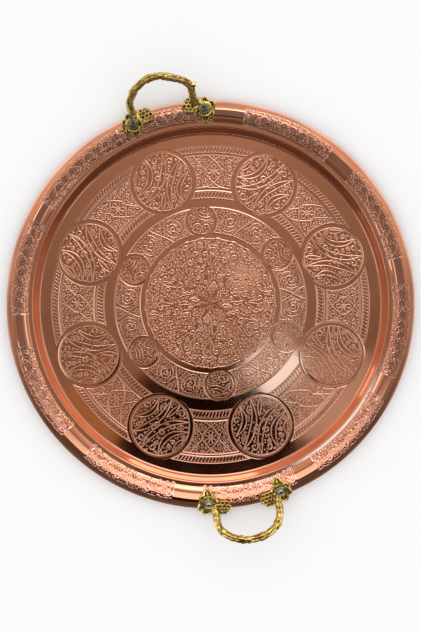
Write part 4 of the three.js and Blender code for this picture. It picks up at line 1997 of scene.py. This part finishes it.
@dataclass
class Studio:
    """The white table, the tent round the tray, its cards and softboxes, and the camera."""

    camera_height: float = 1412
    camera_shift: float = -13.35
    frame_height: float = 771.4
    frame_distance: float = 1400
    sensor: float = 36
    table_radius: float = 6000
    tent_radius: float = 6000
    tent_dark: float = 0.15
    tent_bright: float = 0.95
    # A low collar of cloth just outside the rim: its radii, height, and light at the back and front
    collar: tuple[float, float, float] = (225, 275, 72)
    collar_dark: float = 0.3
    collar_bright: float = 2.3
    ceiling: Card = Card("ceiling_card", 0, 0, 540, 540, 4800, 0.4, "#fff2e8")
    cards: tuple[Card, ...] = (
        Card("brown_flag", -4, -149, 256, 160, 4600, 0.07, "#ff9668", corners=40),
        Card("dark_flag", -3, -151, 228, 142, 4550, 0.006, "#ff8860", corners=40),
        Card("gold_card", -142, -132, 84, 110, 4500, 0.46, "#ffdcae", -40),
        Card("corner_card", 150, -112, 92, 110, 2300, 0.66),
        Card("window_card", 80, -77, 60, 66, 2150, 3.4, "#aedaff", -45),
        Card("lamp_card", 42, 36, 30, 30, 2150, 1.7, "#dfeeff", 20),
        Card("handle_flag", 8, -325, 260, 100, 120, 0.02),
    )
    lamps: tuple[Lamp, ...] = (
        Lamp("box_back", 84, 54, 2600, 1400, 1100, 3.8),
        Lamp("box_right", 8, 65.7, 1570, 420, 280, 1.9),
        Lamp("box_corner", 322, 57, 2600, 380, 700, 1.6),
        Lamp("box_wall", 201, 50, 2600, 640, 420, 2.4),
        Lamp("box_left", 190, 73, 3130, 620, 380, 1.8),
        Lamp("box_far_left", 153, 50, 2600, 340, 560, 2.4),
        Lamp("low_back", 88, 22, 2600, 1800, 400, 0.8),
    )

    def to_tray(self, right: float, up: float) -> Array:
        """Turns a place as the camera sees it to the tray's X and Y.

        Args:
            right: how far it is to the right of the tray's axis.
            up: how far it is up from the axis.

        Returns:
            X and Y.
        """
        angle = math.radians(VIEW_TURN)
        c, s = math.cos(angle), math.sin(angle)
        return np.array([right * c - up * s, right * s + up * c])

    def build(self) -> None:
        """Makes everything round the tray."""
        self.camera()
        self.world()
        self.table()
        self.place_tent()
        self.place_collar()
        self.light_up(self.hang(self.ceiling), self.ceiling.tint, self.ceiling_light)
        for card in self.cards:
            self.light_up(self.hang(card), card.tint, card.light)
        for lamp in self.lamps:
            self.place_lamp(lamp)

    def camera(self) -> None:
        """Hangs the camera over the tray, square to the table."""
        x, y = self.to_tray(0, self.camera_shift)
        place = (x * MM, y * MM, self.camera_height * MM)
        turn = (0, 0, math.radians(VIEW_TURN))
        camera = add_primitive(bpy.ops.object.camera_add, "camera", location=place, rotation=turn)
        camera.data.sensor_width = self.sensor
        camera.data.lens = self.sensor * self.frame_distance / self.frame_height
        bpy.context.scene.camera = camera

    def world(self) -> None:
        """Makes the room evenly white, to the camera, as the light on the tray and in the metals alike."""
        world = bpy.data.worlds.new("white_room")
        world.use_nodes = True
        world.node_tree.nodes.clear()
        back = add_node(world.node_tree, "Background", {"Color": (1, 1, 1, 1), "Strength": 1.0})
        add_node(world.node_tree, "OutputWorld", {"Surface": back.outputs[0]})
        bpy.context.scene.world = world

    def table(self) -> None:
        """Makes the white table top, of matt painted board, that the tray stands on."""
        circle = bpy.ops.mesh.primitive_circle_add
        table = add_primitive(circle, "table", vertices=96, radius=self.table_radius * MM, fill_type="NGON")
        material, tree = new_tree("white_table")
        place = add_node(tree, "TexCoord", {}).outputs["Object"]
        grain = add_node(tree, "TexNoise", {"Vector": place, "Scale": 40.0}).outputs[0]
        shades = {0: grain, 6: linear("#fbfbfb"), 7: linear("#fdfdfd")}
        colour = add_node(tree, "Mix", shades, data_type="RGBA").outputs[2]
        surface = {"Base Color": colour, "Roughness": 0.9, "Specular IOR Level": 0.1}
        shader = add_node(tree, "BsdfPrincipled", surface)
        add_node(tree, "OutputMaterial", {"Surface": shader.outputs[0]})
        table.data.materials.append(material)

    def light_up(self, piece: Piece, tint: str, light: float | Callable[[Tree], Socket]) -> None:
        """Makes a stage piece glow, and hides it from all but the metals' reflections.

        Args:
            piece: the card, lamp or cloth.
            tint: the colour of its light.
            light: its brightness, or a method that adds nodes for it to a tree and returns their output.
        """
        material, tree = new_tree(piece.name)
        strength = light(tree) if callable(light) else light
        shader = add_node(tree, "Emission", {"Color": linear(tint), "Strength": strength})
        add_node(tree, "OutputMaterial", {"Surface": shader.outputs[0]})
        piece.data.materials.append(material)
        piece.visible_camera = piece.visible_diffuse = piece.visible_shadow = False
        piece.visible_transmission = piece.visible_volume_scatter = False

    def place_tent(self) -> None:
        """Hangs a cloth tent over the table, which keeps the metals from going plain white."""
        sphere = bpy.ops.mesh.primitive_uv_sphere_add
        tent = add_primitive(sphere, "tent", segments=48, ring_count=24, radius=self.tent_radius * MM)
        edit(
            tent,
            lambda: bpy.ops.mesh.select_all(action="SELECT"),
            lambda: bpy.ops.mesh.bisect(plane_co=(0, 0, 0), plane_no=(0, 0, 1), clear_inner=True),
        )
        self.light_up(tent, "#fff4ec", self.tent_light)

    def tent_light(self, tree: Tree) -> Socket:
        """Adds the tent's brightness, which grows towards the back and varies with broad folds.

        Args:
            tree: the tent's node tree.

        Returns:
            The output that gives it.
        """
        place = add_node(tree, "TexCoord", {}).outputs["Object"]
        folds = add_node(tree, "TexNoise", {"Vector": place, "Scale": 0.9, "Detail": 2.0}).outputs[0]
        folds = add_node(tree, "MapRange", {"Value": folds, "To Min": 0.5, "To Max": 1.5}).outputs[0]
        ways = {0: place, 1: (*self.to_tray(0, 1), 0)}
        back = add_node(tree, "VectorMath", ways, operation="DOT_PRODUCT").outputs["Value"]
        span = {"From Min": -3.3, "From Max": 3.3, "To Min": self.tent_dark, "To Max": self.tent_bright}
        light = add_node(tree, "MapRange", {"Value": back, **span}).outputs[0]
        return add_node(tree, "Math", {0: light, 1: folds}, operation="MULTIPLY").outputs[0]

    def place_collar(self) -> None:
        """Lays a collar of lit cloth over the table round the rim."""
        inner, outer, height = self.collar
        profile = [(inner, height), (outer, height), (outer, height + 1), (inner, height + 1)]
        self.light_up(spin_profile("collar", profile, 96), "#f4f4ff", self.collar_light)

    def collar_light(self, tree: Tree) -> Socket:
        """Adds the collar's brightness, which grows towards the front.

        Args:
            tree: the collar's node tree.

        Returns:
            The output that gives it.
        """
        place = add_node(tree, "TexCoord", {}).outputs["Object"]
        ways = {0: place, 1: (*self.to_tray(0, -1), 0)}
        front = add_node(tree, "VectorMath", ways, operation="DOT_PRODUCT").outputs["Value"]
        span = {"From Min": 0.08, "From Max": 0.24, "To Min": self.collar_dark, "To Max": self.collar_bright}
        return add_node(tree, "MapRange", {"Value": front, **span}).outputs[0]

    def ceiling_light(self, tree: Tree) -> Socket:
        """Adds the ceiling's brightness, dimmer over its middle than towards the back, and at its sides.

        Args:
            tree: the ceiling's node tree.

        Returns:
            The output that gives it.
        """
        place = add_node(tree, "TexCoord", {}).outputs["Object"]
        parts = add_node(tree, "SeparateXYZ", {"Vector": place}).outputs
        beside = add_node(tree, "Math", {0: parts["X"]}, operation="ABSOLUTE").outputs[0]
        dim, bright = self.ceiling.light * 0.88, self.ceiling.light * 1.22
        back, fall = (
            add_node(
                tree, "MapRange", {"Value": value, "From Min": a, "From Max": b, "To Min": c, "To Max": d}
            ).outputs[0]
            for value, a, b, c, d in ((parts["Y"], -0.1, 0.35, dim, bright), (beside, 0.08, 0.38, 1.0, 0.76))
        )
        return add_node(tree, "Math", {0: back, 1: fall}, operation="MULTIPLY").outputs[0]

    def hang(self, card: Card) -> Piece:
        """Hangs a card where the tray's floor mirrors it to its place in the picture.

        Args:
            card: the card.

        Returns:
            Its piece, which doesn't glow yet.
        """
        grow = 1 + card.height / self.camera_height
        x, y = self.to_tray(card.right * grow, (card.up - self.camera_shift) * grow + self.camera_shift)
        is_round = card.corners > 4
        piece = add_primitive(
            bpy.ops.mesh.primitive_circle_add,
            card.name,
            vertices=card.corners,
            radius=0.5 if is_round else math.sqrt(0.5),
            fill_type="NGON",
            rotation=(0, 0, 0 if is_round else math.pi / 4),
        )
        bpy.ops.object.transform_apply(rotation=True)
        piece.location = (x * MM, y * MM, card.height * MM)
        piece.rotation_euler = (0, 0, math.radians(VIEW_TURN + card.turn))
        piece.scale = (card.width * grow * MM, card.length * grow * MM, 1)
        return piece

    def place_lamp(self, lamp: Lamp) -> None:
        """Stands a softbox round the tray, facing its middle.

        Args:
            lamp: the softbox.
        """
        azimuth, elevation = math.radians(lamp.azimuth + VIEW_TURN), math.radians(lamp.elevation)
        flat = math.cos(elevation)
        way = Vector((math.cos(azimuth) * flat, math.sin(azimuth) * flat, math.sin(elevation)))
        grid = bpy.ops.mesh.primitive_grid_add
        piece = add_primitive(grid, lamp.name, x_subdivisions=4, y_subdivisions=4, size=1)
        piece.location = way * lamp.distance * MM
        piece.rotation_euler = way.to_track_quat("Z", "Y").to_euler()
        piece.scale = (lamp.width * MM, lamp.length * MM, 1)
        self.light_up(piece, lamp.tint, lamp.light)


# Middle lines of the twigs: along the rim, outwards from the rivets' line, above the rim's crest
NORTH_TWIG = (
    (-41.4, 9, -2),
    (-43.2, 25.5, 5),
    (-39.4, 32.5, 10),
    (-31.7, 40.6, 16.5),
    (-18.2, 46.8, 23),
    (-5.6, 47.6, 26.5),
    (7.2, 44.5, 27.5),
    (18.4, 39.9, 26),
    (28.2, 34.9, 22),
    (33.2, 27.8, 15),
    (34.1, 18.4, 6.5),
    (34.8, 8, -2),
)
SOUTH_TWIG = (
    (-39.3, 9, -2),
    (-39.6, 21.3, 5),
    (-38.1, 29.5, 11),
    (-32.9, 37.9, 17.5),
    (-22.8, 44.6, 23),
    (-10.6, 47.9, 26.5),
    (4.7, 48, 27.5),
    (20.9, 43.6, 25),
    (31.9, 35.8, 19),
    (37.1, 27.6, 12),
    (37.5, 16.5, 4.5),
    (38.3, 8, -2),
)


def main() -> None:
    """Builds the studio, the tray's sheet and the handles in order."""
    logging.basicConfig(level=logging.INFO, format="%(message)s")
    bpy.context.scene.view_settings.view_transform = "Standard"
    Studio().build()
    section = Section()
    copper = PolishedCopper().material()
    brass, steel = CAST_BRASS.material(), RIVET_STEEL.material()
    floor = ChasedFloor(section, copper)
    floor.build()
    ChasedRim(section, copper, start=floor.edge_seam).build()
    Handle(section, "north", 91.25, 4, NORTH_TWIG, True, brass, steel).build()
    Handle(section, "south", 268.75, 0, SOUTH_TWIG, False, brass, steel).build()
    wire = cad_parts["edge_wire"]
    wire.data.materials.clear()
    wire.data.materials.append(WIRE_STEEL.material())
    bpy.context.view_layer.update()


if __name__ == "__main__":
    main()
